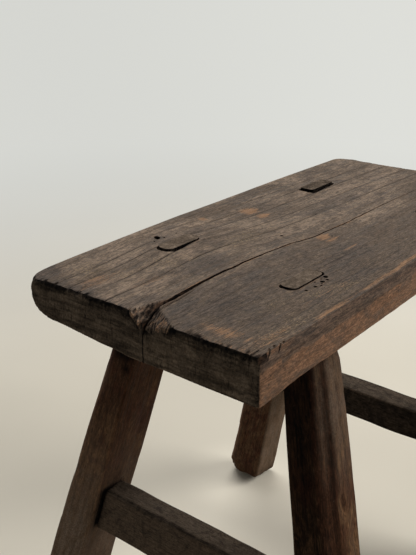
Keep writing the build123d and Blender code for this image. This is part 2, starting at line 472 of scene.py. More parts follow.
class LegSettings(bpy.types.PropertyGroup):
    """Sizes and colours of the legs and their tenons."""

    top_width: length_property("Top width", "Along the seat, at the shoulder", 0.050)
    top_thickness: length_property("Top thickness", "Across the seat, at the shoulder", 0.0365)
    foot_width: length_property("Foot width", "Along the seat, at the floor", 0.0525)
    foot_thickness: length_property("Foot thickness", "Across the seat, at the floor", 0.0535)
    splay_along: length_property("Splay along", "How far the foot stands out along X", 0.061)
    splay_across: length_property("Splay across", "How far the foot stands out along Y", 0.111)
    foot_reach_along: length_property("Foot reach along", "Middle to the foot's face", 0.226)
    foot_reach_across: length_property("Foot reach across", "Middle to the foot's face", 0.2175)
    outer_rounding: length_property("Outer rounding", "Of the two outer corners", 0.012)
    inner_rounding: length_property("Inner rounding", "Of the two inner corners", 0.003)
    foot_rounding: length_property("Foot rounding", "Of the foot's lower edge", 0.0035)
    tenon_width: length_property("Tenon width", "Along the seat", 0.047)
    tenon_thickness: length_property("Tenon thickness", "Across the seat", 0.0165)
    # The handled tone also paints the highlight on the outer sides' upper part
    pale: colour_property("Handled wood", "Lighter brown on the faces", (0.122, 0.0655, 0.0335))
    body: colour_property("Dark brown wood", "Main colour of the legs", (0.0470, 0.0215, 0.0104))
    dark: colour_property("Blackened grain", "Grain and soot", (0.0080, 0.0052, 0.0040))
    rubbed: colour_property("Rubbed arris", "Red-brown on the corners", (0.130, 0.064, 0.034))
    cut: colour_property("Tenon end", "Grey end grain of the tenons", (0.138, 0.107, 0.081))
    flank: colour_property("Inner faces", "Brown of the sheltered faces", (0.066, 0.0335, 0.0170))
    stain: colour_property("Stain", "Reddish stains", (0.034, 0.0098, 0.0050))
    fleck: colour_property("Flecks", "Paler flecks", (0.130, 0.090, 0.058))


class StretcherSettings(bpy.types.PropertyGroup):
    """Sizes and colours of the two stretchers."""

    top_height: length_property("Top height", "Height of the outer top arris", 0.2184)
    height: length_property("Height", "Depth of the bar", 0.0488)
    thickness: length_property("Thickness", "Thickness of the bar", 0.028)
    setback: length_property("Setback", "From the legs' faces to the bar's", 0.0065)
    rounding: length_property("Rounding", "Of the four arrises", 0.0025)
    tenon_height: length_property("Tenon height", "Height of the tenons", 0.032)
    tenon_thickness: length_property("Tenon thickness", "Thickness of the tenons", 0.013)
    shoulder_gap: length_property("Shoulder gap", "Open joint at the left shoulders", 0.0034)
    pale: colour_property("Dusty top", "Grey-brown of the upper face", (0.084, 0.064, 0.047))
    body: colour_property("Dark wood", "Main colour of the bars", (0.040, 0.029, 0.020))
    dark: colour_property("Black grain", "Grain and soot", (0.0095, 0.0070, 0.0050))
    rubbed: colour_property("Rubbed arris", "Brown on the edges", (0.100, 0.060, 0.036))
    cut: colour_property("Tenon end", "End grain of the tenons", (0.050, 0.042, 0.034))
    flank: colour_property("Front faces", "Green-black of the faces", (0.070, 0.049, 0.034))
    stain: colour_property("Stain", "Dark stains", (0.018, 0.0135, 0.0100))
    fleck: colour_property("Flecks", "Paler flecks", (0.120, 0.095, 0.068))


class StageSettings(bpy.types.PropertyGroup):
    """Camera, floor and lights."""

    camera_place: FloatVectorProperty(
        name="Camera place",
        description="Where the camera stands",
        default=(-0.67774, -0.38857, 0.73669),
        subtype="TRANSLATION",
    )
    azimuth: FloatProperty(
        name="Azimuth",
        description="Compass direction of the view, from +Y",
        default=radians(-52.5786),
        subtype="ANGLE",
    )
    elevation: FloatProperty(
        name="Elevation",
        description="How far the view looks down",
        default=radians(22.1075),
        subtype="ANGLE",
    )
    roll: FloatProperty(
        name="Roll", description="Roll of the camera", default=radians(0.4343), subtype="ANGLE"
    )
    lens: FloatProperty(name="Lens", description="Focal length in mm", default=52.845)
    floor_reach: length_property("Floor", "Radius of the floor", 16.0)
    near_floor: colour_property("Near floor", "Floor under the stool", (0.64, 0.605, 0.515))
    far_floor: colour_property("Far floor", "Floor and wall behind", (0.670, 0.675, 0.640))


def deselect_all():
    if bpy.context.mode != "OBJECT":
        bpy.ops.object.mode_set(mode="OBJECT")
    bpy.ops.object.select_all(action="DESELECT")


def make_active(piece):
    deselect_all()
    piece.select_set(True)
    bpy.context.view_layer.objects.active = piece


def add_block(name, low, high):
    """A block between two corners, started from a cube."""
    deselect_all()
    low = Vector(low)
    high = Vector(high)
    bpy.ops.mesh.primitive_cube_add(size=1, location=(low + high) / 2, scale=high - low)
    block = bpy.context.object
    block.name = name
    block.data.name = name
    bpy.ops.object.transform_apply(location=True, rotation=True, scale=True)
    return block


def pick(piece, kind, test):
    """Selects the faces or edges of a piece that pass a test, and stays in edit mode."""
    if bpy.context.mode == "OBJECT":
        make_active(piece)
        bpy.ops.object.mode_set(mode="EDIT")
    bpy.ops.mesh.select_mode(type="FACE" if kind == "faces" else "EDGE")
    bpy.ops.mesh.select_all(action="DESELECT")
    mesh = bmesh.from_edit_mesh(piece.data)
    for part in getattr(mesh, kind):
        if test(part):
            part.select_set(True)
    bmesh.update_edit_mesh(piece.data)


def middle_of(part):
    """Mean place of an edge's or a face's corners."""
    return sum((corner.co for corner in part.verts), Vector()) / len(part.verts)


def runs_along(edge, axis):
    """Whether an edge runs along an axis, or leans only a little off it."""
    run = edge.verts[1].co - edge.verts[0].co
    return abs(run[axis]) > 0.9 * run.length


def divide(piece, axis, cuts, shortest=0):
    """Cuts every edge along an axis that is longer than the shortest into equal lengths."""
    pick(piece, "edges", lambda edge: runs_along(edge, axis) and edge.calc_length() > shortest)
    bpy.ops.mesh.subdivide(number_cuts=cuts)


def bevel_edges(piece, test, width, segments):
    pick(piece, "edges", test)
    bpy.ops.mesh.bevel(offset=width, segments=segments, affect="EDGES")


def apply_boolean(piece, other, operation):
    """Cuts or joins another mesh into a piece and deletes it."""
    make_active(piece)
    modifier = piece.modifiers.new(operation.lower(), "BOOLEAN")
    modifier.operation = operation
    modifier.object = other
    modifier.solver = "EXACT"
    bpy.ops.object.modifier_apply(modifier=modifier.name)
    bpy.data.objects.remove(other)


def join(pieces):
    """Joins meshes into the first of them."""
    deselect_all()
    for piece in pieces:
        piece.select_set(True)
    bpy.context.view_layer.objects.active = pieces[0]
    bpy.ops.object.join()
    return pieces[0]


def get_points(piece):
    points = np.empty(len(piece.data.vertices) * 3)
    piece.data.vertices.foreach_get("co", points)
    return points.reshape(-1, 3)


def set_points(piece, points):
    piece.data.vertices.foreach_set("co", points.ravel())
    piece.data.update()


def get_normals(piece):
    normals = np.empty(len(piece.data.vertices) * 3, np.float32)
    piece.data.vertex_normals.foreach_get("vector", normals)
    return normals.reshape(-1, 3).astype(float)


def get_faces(piece):
    """Centres and normals of a piece's faces."""
    faces = piece.data.polygons
    both = []
    for field in ("center", "normal"):
        values = np.empty(len(faces) * 3, np.float32)
        faces.foreach_get(field, values)
        both.append(values.reshape(-1, 3).astype(float))
    return both


def set_attribute(piece, name, values):
    """Keeps a number, or a vector, for each point of a piece."""
    values = np.asarray(values, np.float32)
    kind, field = ("FLOAT_VECTOR", "vector") if values.ndim == 2 else ("FLOAT", "value")
    attribute = piece.data.attributes.new(name, kind, "POINT")
    attribute.data.foreach_set(field, values.ravel())


def set_corner_attribute(piece, name, values, walls):
    """Keeps a number for each corner of a piece's faces: its point's, or 1 all over the walls."""
    mesh = piece.data
    corners = np.empty(len(mesh.loops), int)
    mesh.loops.foreach_get("vertex_index", corners)
    counts = np.empty(len(mesh.polygons), int)
    mesh.polygons.foreach_get("loop_total", counts)
    values = np.where(np.repeat(walls, counts), 1.0, np.asarray(values)[corners])
    attribute = mesh.attributes.new(name, "FLOAT", "CORNER")
    attribute.data.foreach_set("value", values.astype(np.float32))


def smooth(values, low, high):
    """0 below low, 1 above high and a soft step between."""
    share = np.clip((values - low) / (high - low), 0, 1)
    return share * share * (3 - 2 * share)


def swell(distances, reach):
    """1 at no distance, fading to 0 past the reach."""
    return np.exp(-((distances / reach) ** 2))


def wobble(points, lengths, seed=0.0):
    """Smooth noise between about -1 and 1, with a wavelength for each axis."""
    scaled = points / np.asarray(lengths) + seed
    return 1.6 * np.array([noise.noise(place) for place in scaled.tolist()])


def layered(points, *layers):
    """Sum of noises, each given by its amount, its wavelengths and its seed."""
    return sum(amount * wobble(points, lengths, seed) for amount, lengths, seed in layers)


def crowded(count, low, high, crowds):
    """Grid lines from low to high, set closer near each (place, reach, strength) of a crowd."""
    fine = np.linspace(low, high, 5001)
    density = np.ones_like(fine)
    for place, reach, strength in crowds:
        density += strength * swell(fine - place, reach)
    total = np.concatenate([[0], np.cumsum((density[1:] + density[:-1]) / 2)])
    return np.interp(np.linspace(0, total[-1], count + 1), total, fine)


def crack_at(along):
    """Place across Y, width and depth of the crack at places along the seat."""
    stations, across, widths, depths = (np.array(row) for row in zip(*CRACK))
    return tuple(np.interp(along, stations, row) for row in (across, widths, depths))


def crack_jitter(points):
    """Small sideways steps of the crack where it follows the fibres."""
    level = points * (1, 0, 0)
    jitter = layered(level, (0.00055, (0.012, 1, 1), 2.2), (0.0003, (0.004, 1, 1), 8.2))
    return jitter * smooth(-points[:, 0], -0.16, -0.10)


# Label of the crack's middle among the seat's rows, and the width that it takes up there
CRACK_LABEL = -0.004
CRACK_LABEL_WIDTH = 0.0026


def seat_row(along, label, opening=1.0):
    """Where a row of the seat's grain lies across Y: rows drift right, round the knot and crack.

    The opening is the crack's width here as a share of its width at the top.
    """
    seat = bpy.context.scene.stool_seat
    half_length = seat_high.x
    half_width = seat_high.y
    inward = seat.side_bow * (along / half_length) ** 2
    left = smooth(label, 0, half_width)
    inward = inward + left * (0.0015 - 0.0018 * swell(along + 0.09, 0.09))
    straight = label * (1 - inward / half_width)
    window = 1 - (label / half_width) ** 2
    drift = -0.065 * (along + 0.25)
    round_knot = 0.017 * smooth(label, 0.0, 0.065) * swell(along + 0.125, 0.060)
    rows = straight + window * (drift + round_knot)

    across, width, _ = crack_at(along)
    width = width * opening
    crack_window = 1 - (CRACK_LABEL / half_width) ** 2
    crack_row = CRACK_LABEL * (1 - inward / half_width) + crack_window * drift
    offset = label - CRACK_LABEL
    rows = rows + (across - crack_row) * swell(offset, 0.030)
    half_label = CRACK_LABEL_WIDTH / 2
    inside = offset * (width / CRACK_LABEL_WIDTH - 1)
    beside = np.sign(offset) * (width / 2 - half_label)
    beside = beside * swell(np.maximum(np.abs(offset) - half_label, 0), 0.006)
    return rows + np.where(np.abs(offset) < half_label, inside, beside)


def seat_label(along, across):
    """The row of grain that passes through each place of the seat's top."""
    label = across.copy()
    for _ in range(30):
        label = label + 0.6 * (across - seat_row(along, label))
    return label


def chip_at(along, across):
    """Depth of the chip in the near end, which is deepest at the crack."""
    seat = bpy.context.scene.stool_seat
    offset = across - crack_at(along)[0]
    reach = np.where(offset > 0, CHIP_LEFT_REACH, CHIP_RIGHT_REACH)
    length = seat.chip_length * np.where(offset > 0, 1, CHIP_RIGHT_LENGTH_SHARE)
    inward = (along - seat_low.x) / length
    return seat.chip_depth * np.clip(1 - np.abs(offset) / reach - inward, 0, 1) ** 0.75


def round_into(outward_a, outward_b):
    """Turns the square corner outside an arc's centre into a quarter disc."""
    inside = (outward_a > 0) & (outward_b > 0)
    reach = np.maximum(outward_a, outward_b)
    length = np.maximum(np.hypot(outward_a, outward_b), 1e-9)
    factor = np.where(inside, reach / length, 1)
    return outward_a * factor, outward_b * factor


def round_corners(along, label):
    """Rounds the plank's corners in plan.

    Also gives each point's distance from the plank's outline and the way inwards from there.
    """
    seat = bpy.context.scene.stool_seat
    half_length = (seat_high.x - seat_low.x) / 2
    half_width = seat_high.y
    end_distance = half_length - np.abs(along)
    side_distance = half_width - np.abs(label)
    inset = np.minimum(end_distance, side_distance)
    by_end = end_distance < side_distance
    inward = np.where(by_end, (-np.sign(along), 0 * along), (0 * label, -np.sign(label)))
    for end, side, radius in (
        (-1, 1, seat.near_left_corner),
        (-1, -1, seat.near_right_corner),
        (1, 1, seat.far_left_corner),
        (1, -1, seat.far_right_corner),
    ):
        a = end * along - (half_length - radius)
        b = side * label - (half_width - radius)
        inside = (a > 0) & (b > 0)
        a, b = round_into(a, b)
        along = np.where(inside, end * (half_length - radius + a), along)
        label = np.where(inside, side * (half_width - radius + b), label)
        length = np.maximum(np.hypot(a, b), 1e-9)
        inset = np.where(inside, radius - length, inset)
        inward = np.where(inside, (-end * a / length, -side * b / length), inward)
    return along, label, np.maximum(inset, 0), inward


def round_edge(radius, inset, depth):
    """How far points near an edge move in to its arc, and their depth on it."""
    a = radius - inset
    b = radius - depth
    length = np.maximum(np.hypot(a, b), 1e-9)
    near = (a > 0) & (b > 0)
    shift = np.where(near, a - radius * a / length, 0)
    return shift, np.where(near, radius - radius * b / length, depth)


def round_seat_edges(along, label, height):
    """Rounds the block's wane, its corners in plan and its lower edges, and draws its top in."""
    seat = bpy.context.scene.stool_seat
    wane_start = seat_high.y - seat.wane_radius
    wane_top = seat_low.z + seat.wane_radius
    outward, downward = round_into(label - wane_start, wane_top - height)
    label = wane_start + outward
    height = wane_top - downward
    in_wane = (label > wane_start) & (height < wane_top)
    along, label, inset, inward = round_corners(along, label)
    right = np.clip(inward[1], 0, 1)
    top_radius = seat.top_rounding + (seat.right_rounding - seat.top_rounding) * right
    bottom_radius = seat.bottom_rounding * (1 - smooth(label, wane_start - 0.025, wane_start))
    top_shift, _ = round_edge(top_radius, inset, seat_high.z - height)
    bottom_shift, lift = round_edge(bottom_radius, inset, height - seat_low.z)
    shift = top_shift + np.where(in_wane, 0, bottom_shift)
    height = np.where(in_wane, height, seat_low.z + lift)
    return along + inward[0] * shift, label + inward[1] * shift, height


def spread_grid(piece):
    """Places along the seat, rows of grain and heights for the block's even grid.

    They lie closer by the crack, the grain lines and the edges. It also says which points are on
    the ends, the top and the bottom.
    """
    counts = [int(np.prod([cut + 1 for cut in cuts])) for cuts in SEAT_CUTS]
    low = np.array(seat_low)
    high = np.array(seat_high)
    cells = np.rint((get_points(piece) - low) / (high - low) * counts).astype(int).T
    half_width = seat_high.y
    stations = crowded(counts[0], low[0], high[0], [(low[0], 0.05, 1.5), (high[0], 0.006, 2)])
    edges = [(CRACK_LABEL, 0.0022, 5), (-half_width, 0.005, 2), (half_width, 0.004, 2)]
    lines = [(place, 0.0016, 3.0 * strength) for place, strength in GRAIN_LINES]
    rows = crowded(counts[1], -half_width, half_width, lines + edges)
    layers = crowded(counts[2], low[2], high[2], [(low[2], 0.004, 1.5), (high[2], 0.005, 3)])
    on_end = (cells[0] == 0) | (cells[0] == counts[0])
    on_top = cells[2] == counts[2]
    on_bottom = cells[2] == 0
    return stations[cells[0]], rows[cells[1]], layers[cells[2]], on_end, on_top, on_bottom


def break_ends(spot, along, across, share_down, on_end):
    """Sets the near end back left of the crack and roughens both ends and the upper arris.

    Gives the places along the seat and how far the arris sinks.
    """
    seat = bpy.context.scene.stool_seat
    middle = (seat_low.x + seat_high.x) / 2
    near = np.clip((middle - along) / (middle - seat_low.x), 0, 1)
    set_back = seat.end_step * smooth(across, -0.020, 0.020) * (1 - share_down) + 0.0004
    along = along + near * set_back
    fibres = layered(
        spot,
        (0.0006, (1, 0.0045, 0.012), 3.1),
        (0.0005, (1, 0.0016, 0.009), 7.7),
        (0.0006, (1, 0.022, 0.018), 1.3),
    )
    along = along + np.where(on_end, np.sign(middle - along) * np.abs(fibres), 0)
    arris = swell(along - seat_low.x - set_back, 0.0040) * swell(seat_high.z - spot[:, 2], 0.0050)
    ragged = 0.0011 * np.abs(wobble(spot, (1, 0.0019, 1), 5.2))
    ragged = ragged + 0.0009 * np.maximum(wobble(spot, (1, 0.006, 1), 9.4), 0)
    return along + arris * ragged, 0.8 * arris * ragged


def press_crack(spot, along, label, across):
    """Draws the crack's rows together, and how far the crack and the splintered chip sink."""
    crack_across, width, crack_depth = crack_at(along)
    crack_across = crack_across + crack_jitter(spot)
    offset = np.abs(label - CRACK_LABEL) / (CRACK_LABEL_WIDTH / 2)
    inside = offset < 0.97
    crack = np.where(inside, crack_depth * (1 - 0.25 * offset**2), 0)
    across = np.where(inside, crack_across + (across - crack_across) * 0.2, across)
    splinters = 1 + layered(
        spot, (0.35, (0.020, 0.0022, 1), 2.6), (0.20, (0.006, 0.0009, 1), 4.1)
    )
    sunk = np.maximum(chip_at(along, across) * splinters, crack)
    beside = across - crack_across + width / 2 + SPLINTER_OFFSET
    splinter_length = smooth(along, -0.256, -0.240) * smooth(-along, 0.196, 0.212)
    return across, sunk + 0.0016 * swell(beside, 0.0006) * splinter_length


def wear_top(spot, along, label, across, height):
    """How far the top sinks in its open grain lines, its soft grain and its worn hollows."""
    seat = bpy.context.scene.stool_seat
    sunk = 0.0036 * swell(along - seat_low.x, 0.018) * swell(across - seat_high.y, 0.020)
    for place, strength in GRAIN_LINES:
        line = strength * seat.line_depth * swell(label - place, 0.00075)
        sunk = sunk + line * (0.75 + 0.5 * wobble(spot, (0.05, 1, 1), place * 900))
    grain = np.stack([along, label, height], axis=1)
    ridges = layered(grain, (0.00010, (0.030, 0.0016, 1), 6.5), (0.00020, (0.090, 0.0060, 1), 8.8))
    hollows = 0.00050 * (1 + wobble(spot, (0.14, 0.060, 1), 0.7))
    flat = np.clip((seat_high.z - height) / 0.004, 0, 1)
    return sunk + 0.00030 + ridges + hollows * (1 - flat)


def thin_plank(along, across, height, sunk):
    """Heights once the top has sunk, the plank has thinned and its near end has worn up."""
    seat = bpy.context.scene.stool_seat
    half_width = seat_high.y
    thickness = seat_high.z - seat_low.z
    thinning = seat.left_thinning * (across + half_width) / (2 * half_width)
    near_sag = 1 - smooth(along, -0.27, -0.21)
    thinning = thinning - near_sag * (0.0010 + 0.0010 * smooth(-across, 0.04, 0.10))
    thinning = thinning + 0.0019 * smooth(-across, 0.106, 0.123) * (1 - near_sag)
    share_up = (height - seat_low.z) / thickness
    height = seat_low.z + thinning + share_up * (thickness - thinning - sunk)
    end_wear = np.interp(across, *zip(*END_WEAR))
    return height + end_wear * swell(along - seat_low.x, 0.030) * (1 - share_up)


def wear_left_corner(along, across, height):
    """Draws the left side in below and swells it above, by the near end."""
    by_side = swell(along - seat_low.x, 0.030) * smooth(across, 0.075, 0.105)
    across = across - 0.0075 * by_side * (1 - smooth(height, 0.4470, 0.4630))
    return across + 0.0030 * by_side * swell(height - 0.4690, 0.0085)


def shape_seat(piece):
    """Moves the grid of the seat block to the plank's worn shape."""
    along, label, height, on_end, on_top, on_bottom = spread_grid(piece)
    middle = (seat_low.x + seat_high.x) / 2
    along, label, height = round_seat_edges(along - middle, label, height)
    along = along + middle
    share_down = (seat_high.z - height) / (seat_high.z - seat_low.z)
    across = seat_row(along, label, 1 - 0.95 * share_down**0.35)
    spot = np.stack([along, across, height], axis=1)
    across = across + crack_jitter(spot) * swell(label - CRACK_LABEL, 0.004)
    along, arris_sunk = break_ends(spot, along, across, share_down, on_end)
    across, crack_sunk = press_crack(spot, along, label, across)
    top_sunk = wear_top(spot, along, label, across, height)
    height = thin_plank(along, across, height, arris_sunk + crack_sunk + top_sunk)
    across = wear_left_corner(along, across, height)

    saw_marks = layered(spot, (0.0003, (0.012, 0.08, 1), 3.3), (0.0004, (0.11, 0.05, 1), 1.9))
    height = height + np.where(on_bottom, np.abs(saw_marks), 0)
    grooves = layered(spot, (0.00035, (0.050, 1, 0.0040), 5.9), (0.00060, (0.060, 1, 0.020), 2.2))
    on_side = ~(on_top | on_bottom | on_end)
    across = across - np.where(on_side, np.sign(across) * np.abs(grooves), 0)
    set_points(piece, np.stack([along, across, height], axis=1))


def leg_face(foot_value, top_value, height):
    """A size or place of the leg at a height, on the straight line from foot to shoulder."""
    return foot_value + (top_value - foot_value) * height / seat_low.z


def leg_reaches(height):
    """Outer and inner reach of a leg along X, then across Y, at a height."""
    leg = bpy.context.scene.stool_leg
    reaches = []
    for reach, splay, foot_size, top_size in (
        (leg.foot_reach_along, leg.splay_along, leg.foot_width, leg.top_width),
        (leg.foot_reach_across, leg.splay_across, leg.foot_thickness, leg.top_thickness),
    ):
        reaches.append(leg_face(reach, reach - splay, height))
        reaches.append(leg_face(reach - foot_size, reach - splay - top_size, height))
    return reaches


def tenon_rectangle(name, height):
    """Lowest and highest X and Y of a leg's tenon at a height."""
    leg = bpy.context.scene.stool_leg
    side_along, side_across = LEG_SIDES[name]
    rise_share = (height - seat_low.z) / (seat_high.z - seat_low.z)
    shift_along, shift_across = TENON_SHIFTS[name]
    inner_along = leg_reaches(seat_low.z)[1] - TENON_LEANS[name] * rise_share - shift_along
    inner_across = leg_reaches(height)[3] - shift_across
    along = sorted(side_along * reach for reach in (inner_along, inner_along + leg.tenon_width))
    across = sorted(
        side_across * reach for reach in (inner_across, inner_across + leg.tenon_thickness)
    )
    return along, across


def place_ends(piece, lower, upper):
    """Sets the lower and upper faces of a block to two rectangles at their heights."""
    points = get_points(piece)
    middle = points.mean(axis=0)
    for point in points:
        along, across = upper if point[2] > middle[2] else lower
        point[0] = along[int(point[0] > middle[0])]
        point[1] = across[int(point[1] > middle[1])]
    set_points(piece, points)


def add_tenon(name, low, high):
    """A leg's tenon as a leaning block with rounded upright corners."""
    block = add_block(name + "_tenon", (-1, -1, low), (1, 1, high))
    place_ends(block, tenon_rectangle(name, low), tenon_rectangle(name, high))
    bevel_edges(block, lambda edge: runs_along(edge, 2), TENON_ROUNDINGS[name], 5)
    deselect_all()
    return block


def add_mortise(name):
    """The cutter for a mortise: the tenon's block with its own gap on each side."""
    towards_along, away_along, towards_across, away_across, widening = MORTISE_GAPS[name]
    sides = np.array(LEG_SIDES[name])
    low = seat_low.z - CUT_OVERRUN
    high = seat_high.z + CUT_OVERRUN
    block = add_tenon(name, low, high)
    divide(block, 0, 12, shortest=0.010)
    divide(block, 1, 5, shortest=0.005)
    deselect_all()
    points = get_points(block)
    wave = 1 + 0.22 * wobble(points, (0.010, 0.010, 1), 2.4)[:, None]
    for level in (low, high):
        corners = np.array(tenon_rectangle(name, level))
        share = (points[:, :2] - corners.mean(axis=1)) * sides / (np.ptp(corners, axis=1) / 2)
        gap_along = np.where(share[:, 0] > 0, away_along, towards_along)
        gap_across = np.where(share[:, 1] > 0, away_across, towards_across)
        gap_across = gap_across * (1 - widening * sides[0] * share[:, 0])
        gaps = np.stack([gap_along, gap_across], axis=1)
        room = gaps if level == high else MORTISE_LOWER_GAP
        here = np.abs(points[:, 2] - level) < 0.001
        points[here, :2] = (points[:, :2] + share * room * wave * sides)[here]
    set_points(block, points)
    return block


def add_cutter(add_primitive, **settings):
    """Adds a cone or a ball as a cutter, with its place in its mesh."""
    deselect_all()
    add_primitive(**settings)
    bpy.ops.object.transform_apply(location=True, rotation=True, scale=True)
    return bpy.context.object


def add_borings():
    """Cutters for the worm holes, the knot hole and the nicks."""
    cutters = [
        add_cutter(
            bpy.ops.mesh.primitive_cone_add,
            vertices=11,
            radius1=radius * 0.4,
            radius2=radius * 1.3,
            depth=0.016,
            location=(along, across, seat_high.z - 0.003),
            rotation=(0.25 * np.sin(order * 2.1), 0.30 * np.cos(order * 1.7), 0),
        )
        for order, (along, across, radius) in enumerate(BORINGS)
    ]
    for along, across, length in NICKS:
        cutters.append(
            add_cutter(
                bpy.ops.mesh.primitive_cone_add,
                vertices=6,
                radius1=0.0004,
                radius2=0.0016,
                depth=0.012,
                location=(along, across, seat_high.z - 0.0035),
                rotation=(0.5, 0.35, 0.4 + 0.5 * length),
                scale=(2.0 * length, 0.75, 1),
            )
        )
    cutters.append(
        add_cutter(
            bpy.ops.mesh.primitive_ico_sphere_add,
            subdivisions=3,
            radius=0.0036,
            location=(*KNOT_HOLE, seat_high.z - 0.0010),
            rotation=(0, 0, 1.0),
            scale=(1.35, 0.80, 1.5),
        )
    )
    return cutters


def find_walls(piece):
    """Which faces of the seat line the crack, the mortises or the holes, which are painted black
    as their shade.
    """
    centres, normals = get_faces(piece)
    along, across, height = centres.T
    depth = seat_high.z - height
    above_bottom = depth < WALL_DEPTH
    steep = (np.abs(normals[:, 2]) < 0.80) & above_bottom
    crack_across, width, crack_depth = crack_at(along)
    offset = np.abs(across - crack_across - crack_jitter(centres))
    walls = (np.abs(normals[:, 2]) < 0.55) & (np.abs(normals[:, 0]) < 0.8) & above_bottom
    walls = walls & (offset < width / 2 + 0.0004) & (crack_depth > 0.0006)
    walls = walls & (depth > 0.6 * chip_at(along, across) + 0.0004)
    for name in LEG_SIDES:
        mouth = steep & (depth > 0.0004)
        for places, (low, high) in zip((along, across), tenon_rectangle(name, seat_high.z)):
            mouth = mouth & (np.abs(places - (low + high) / 2) < (high - low) / 2 + 0.005)
        walls = walls | mouth
    for hole_along, hole_across, radius in BORINGS + [(*KNOT_HOLE, 0.0045)]:
        inside = np.hypot(along - hole_along, across - hole_across) < radius * 1.6 + 0.0006
        walls = walls | (inside & (steep | (depth > 0.0022)) & (depth > 0.0006) & (depth < 0.014))
    return walls


class SeatSurface:
    """Every point of the finished seat, measured from its top, crack, chip and edges."""

    def __init__(self, piece):
        self.points = get_points(piece)
        self.normals = get_normals(piece)
        self.along, self.across, height = self.points.T
        self.label = seat_label(self.along, self.across)
        self.grain = np.stack([self.along, self.label, height], axis=1)
        self.depth = seat_high.z - height
        crack_across, self.crack_width, self.crack_depth = crack_at(self.along)
        self.left_of_crack = self.across - crack_across - crack_jitter(self.points)
        self.from_crack = np.abs(self.left_of_crack)
        self.from_near = self.along - seat_low.x
        self.from_ends = np.minimum(self.from_near, seat_high.x - self.along)
        self.from_right = self.across + seat_high.y
        self.upward = self.normals[:, 2] > 0.35
        self.chip = chip_at(self.along, self.across)
        self.in_chip = (self.chip > 0.0005) & (self.depth < self.chip * 1.5 + 0.003)
        self.in_chip = self.in_chip & (self.normals[:, 2] > 0.2)
        self.splinters = wobble(self.points, (0.014, 0.0013, 1), 2.8)
        self.splinters = self.splinters + 0.06 * (self.left_of_crack < 0)
        end_grain = smooth(np.abs(self.normals[:, 0]), 0.45, 0.80) * (self.from_ends < 0.012)
        self.end_grain = end_grain * ~self.in_chip

    def patch(self, place_along, place_across, reach_along, reach_across):
        """1 in the middle of a patch, fading to 0."""
        share = swell(self.along - place_along, reach_along)
        return share * swell(self.across - place_across, reach_across)


def seat_rings(surface):
    """Number of the growth ring at each point, and how dark the nearest grain line is."""
    places, strengths = (np.array(column)[::-1] for column in zip(*GRAIN_LINES))
    edges = np.concatenate([[-seat_high.y - 0.004], places, [seat_high.y + 0.010]])
    ring = np.interp(surface.label, edges, np.arange(len(edges)) - 1.0)
    nearest = np.clip(np.rint(ring).astype(int), 0, len(places) - 1)
    return ring, strengths[nearest] * (surface.normals[:, 2] > 0.3)


def crack_lip(surface):
    """The rubbed lip on the crack's higher side, which changes along the seat."""
    along = surface.along
    lip_below = (along < -0.210) | ((along > -0.140) & (along < -0.060)) | (along > 0.030)
    lip_side = np.where(lip_below, -surface.left_of_crack, surface.left_of_crack)
    lip = surface.upward & (lip_side > 0) & (along < 0.12)
    lip = 0.75 * lip * swell(surface.from_crack - surface.crack_width / 2, 0.0016)
    worn = np.clip(0.7 + wobble(surface.points, (0.02, 1, 1), 3.9), 0, 1)
    return lip * smooth(0.12 - along, 0, 0.08) * worn


def right_arris(surface):
    """The wavering line along the right edge where the top is rubbed."""
    waver = 0.0012 * wobble(surface.points, (0.030, 1, 1), 7.4)
    line = swell(surface.from_right - 0.0070 - waver, 0.0027) * surface.upward
    line = line * smooth(surface.along, -0.25, -0.18)
    return np.clip(line * (0.75 + 0.35 * wobble(surface.points, (0.045, 1, 1), 4.4)), 0, 1)


def rub_seat(surface):
    """How far each point of the seat is rubbed down to orange wood."""
    arris = swell(surface.from_ends - 0.004, 0.006) * surface.upward
    arris = arris * smooth(surface.depth, 0.006, 0.0)
    spots = [
        strength * surface.patch(*place) * surface.upward for *place, strength in RUBBED_PATCHES
    ]
    spots.append(crack_lip(surface))
    spots.append(right_arris(surface))
    spots.append(surface.in_chip * np.clip(0.30 + 0.7 * surface.splinters, 0, 0.55))
    spots.append(0.5 * arris * (0.5 + 0.5 * wobble(surface.points, (1, 0.02, 1), 6.1)))
    return np.max(spots, axis=0)


def split_chip(surface):
    """Painted shade in the splits of the chip: dark lines along the crack, along its branch and
    beside it.
    """
    along = surface.along
    over_lip = smooth(along, -0.256, -0.244) * (surface.left_of_crack > 0)
    beside = np.maximum(surface.from_crack - surface.crack_width / 2, 0)
    branch = surface.left_of_crack - np.interp(along, *zip(*CHIP_BRANCH))
    split = np.maximum(swell(beside, 0.0010 + 0.0030 * over_lip), swell(branch, 0.0013))
    groove = surface.left_of_crack + surface.crack_width / 2 + SPLINTER_OFFSET
    groove = swell(groove, 0.0008) * surface.upward * smooth(along, -0.262, -0.250)
    return np.maximum(surface.in_chip * split, 0.8 * groove) * smooth(-along, 0.200, 0.215)


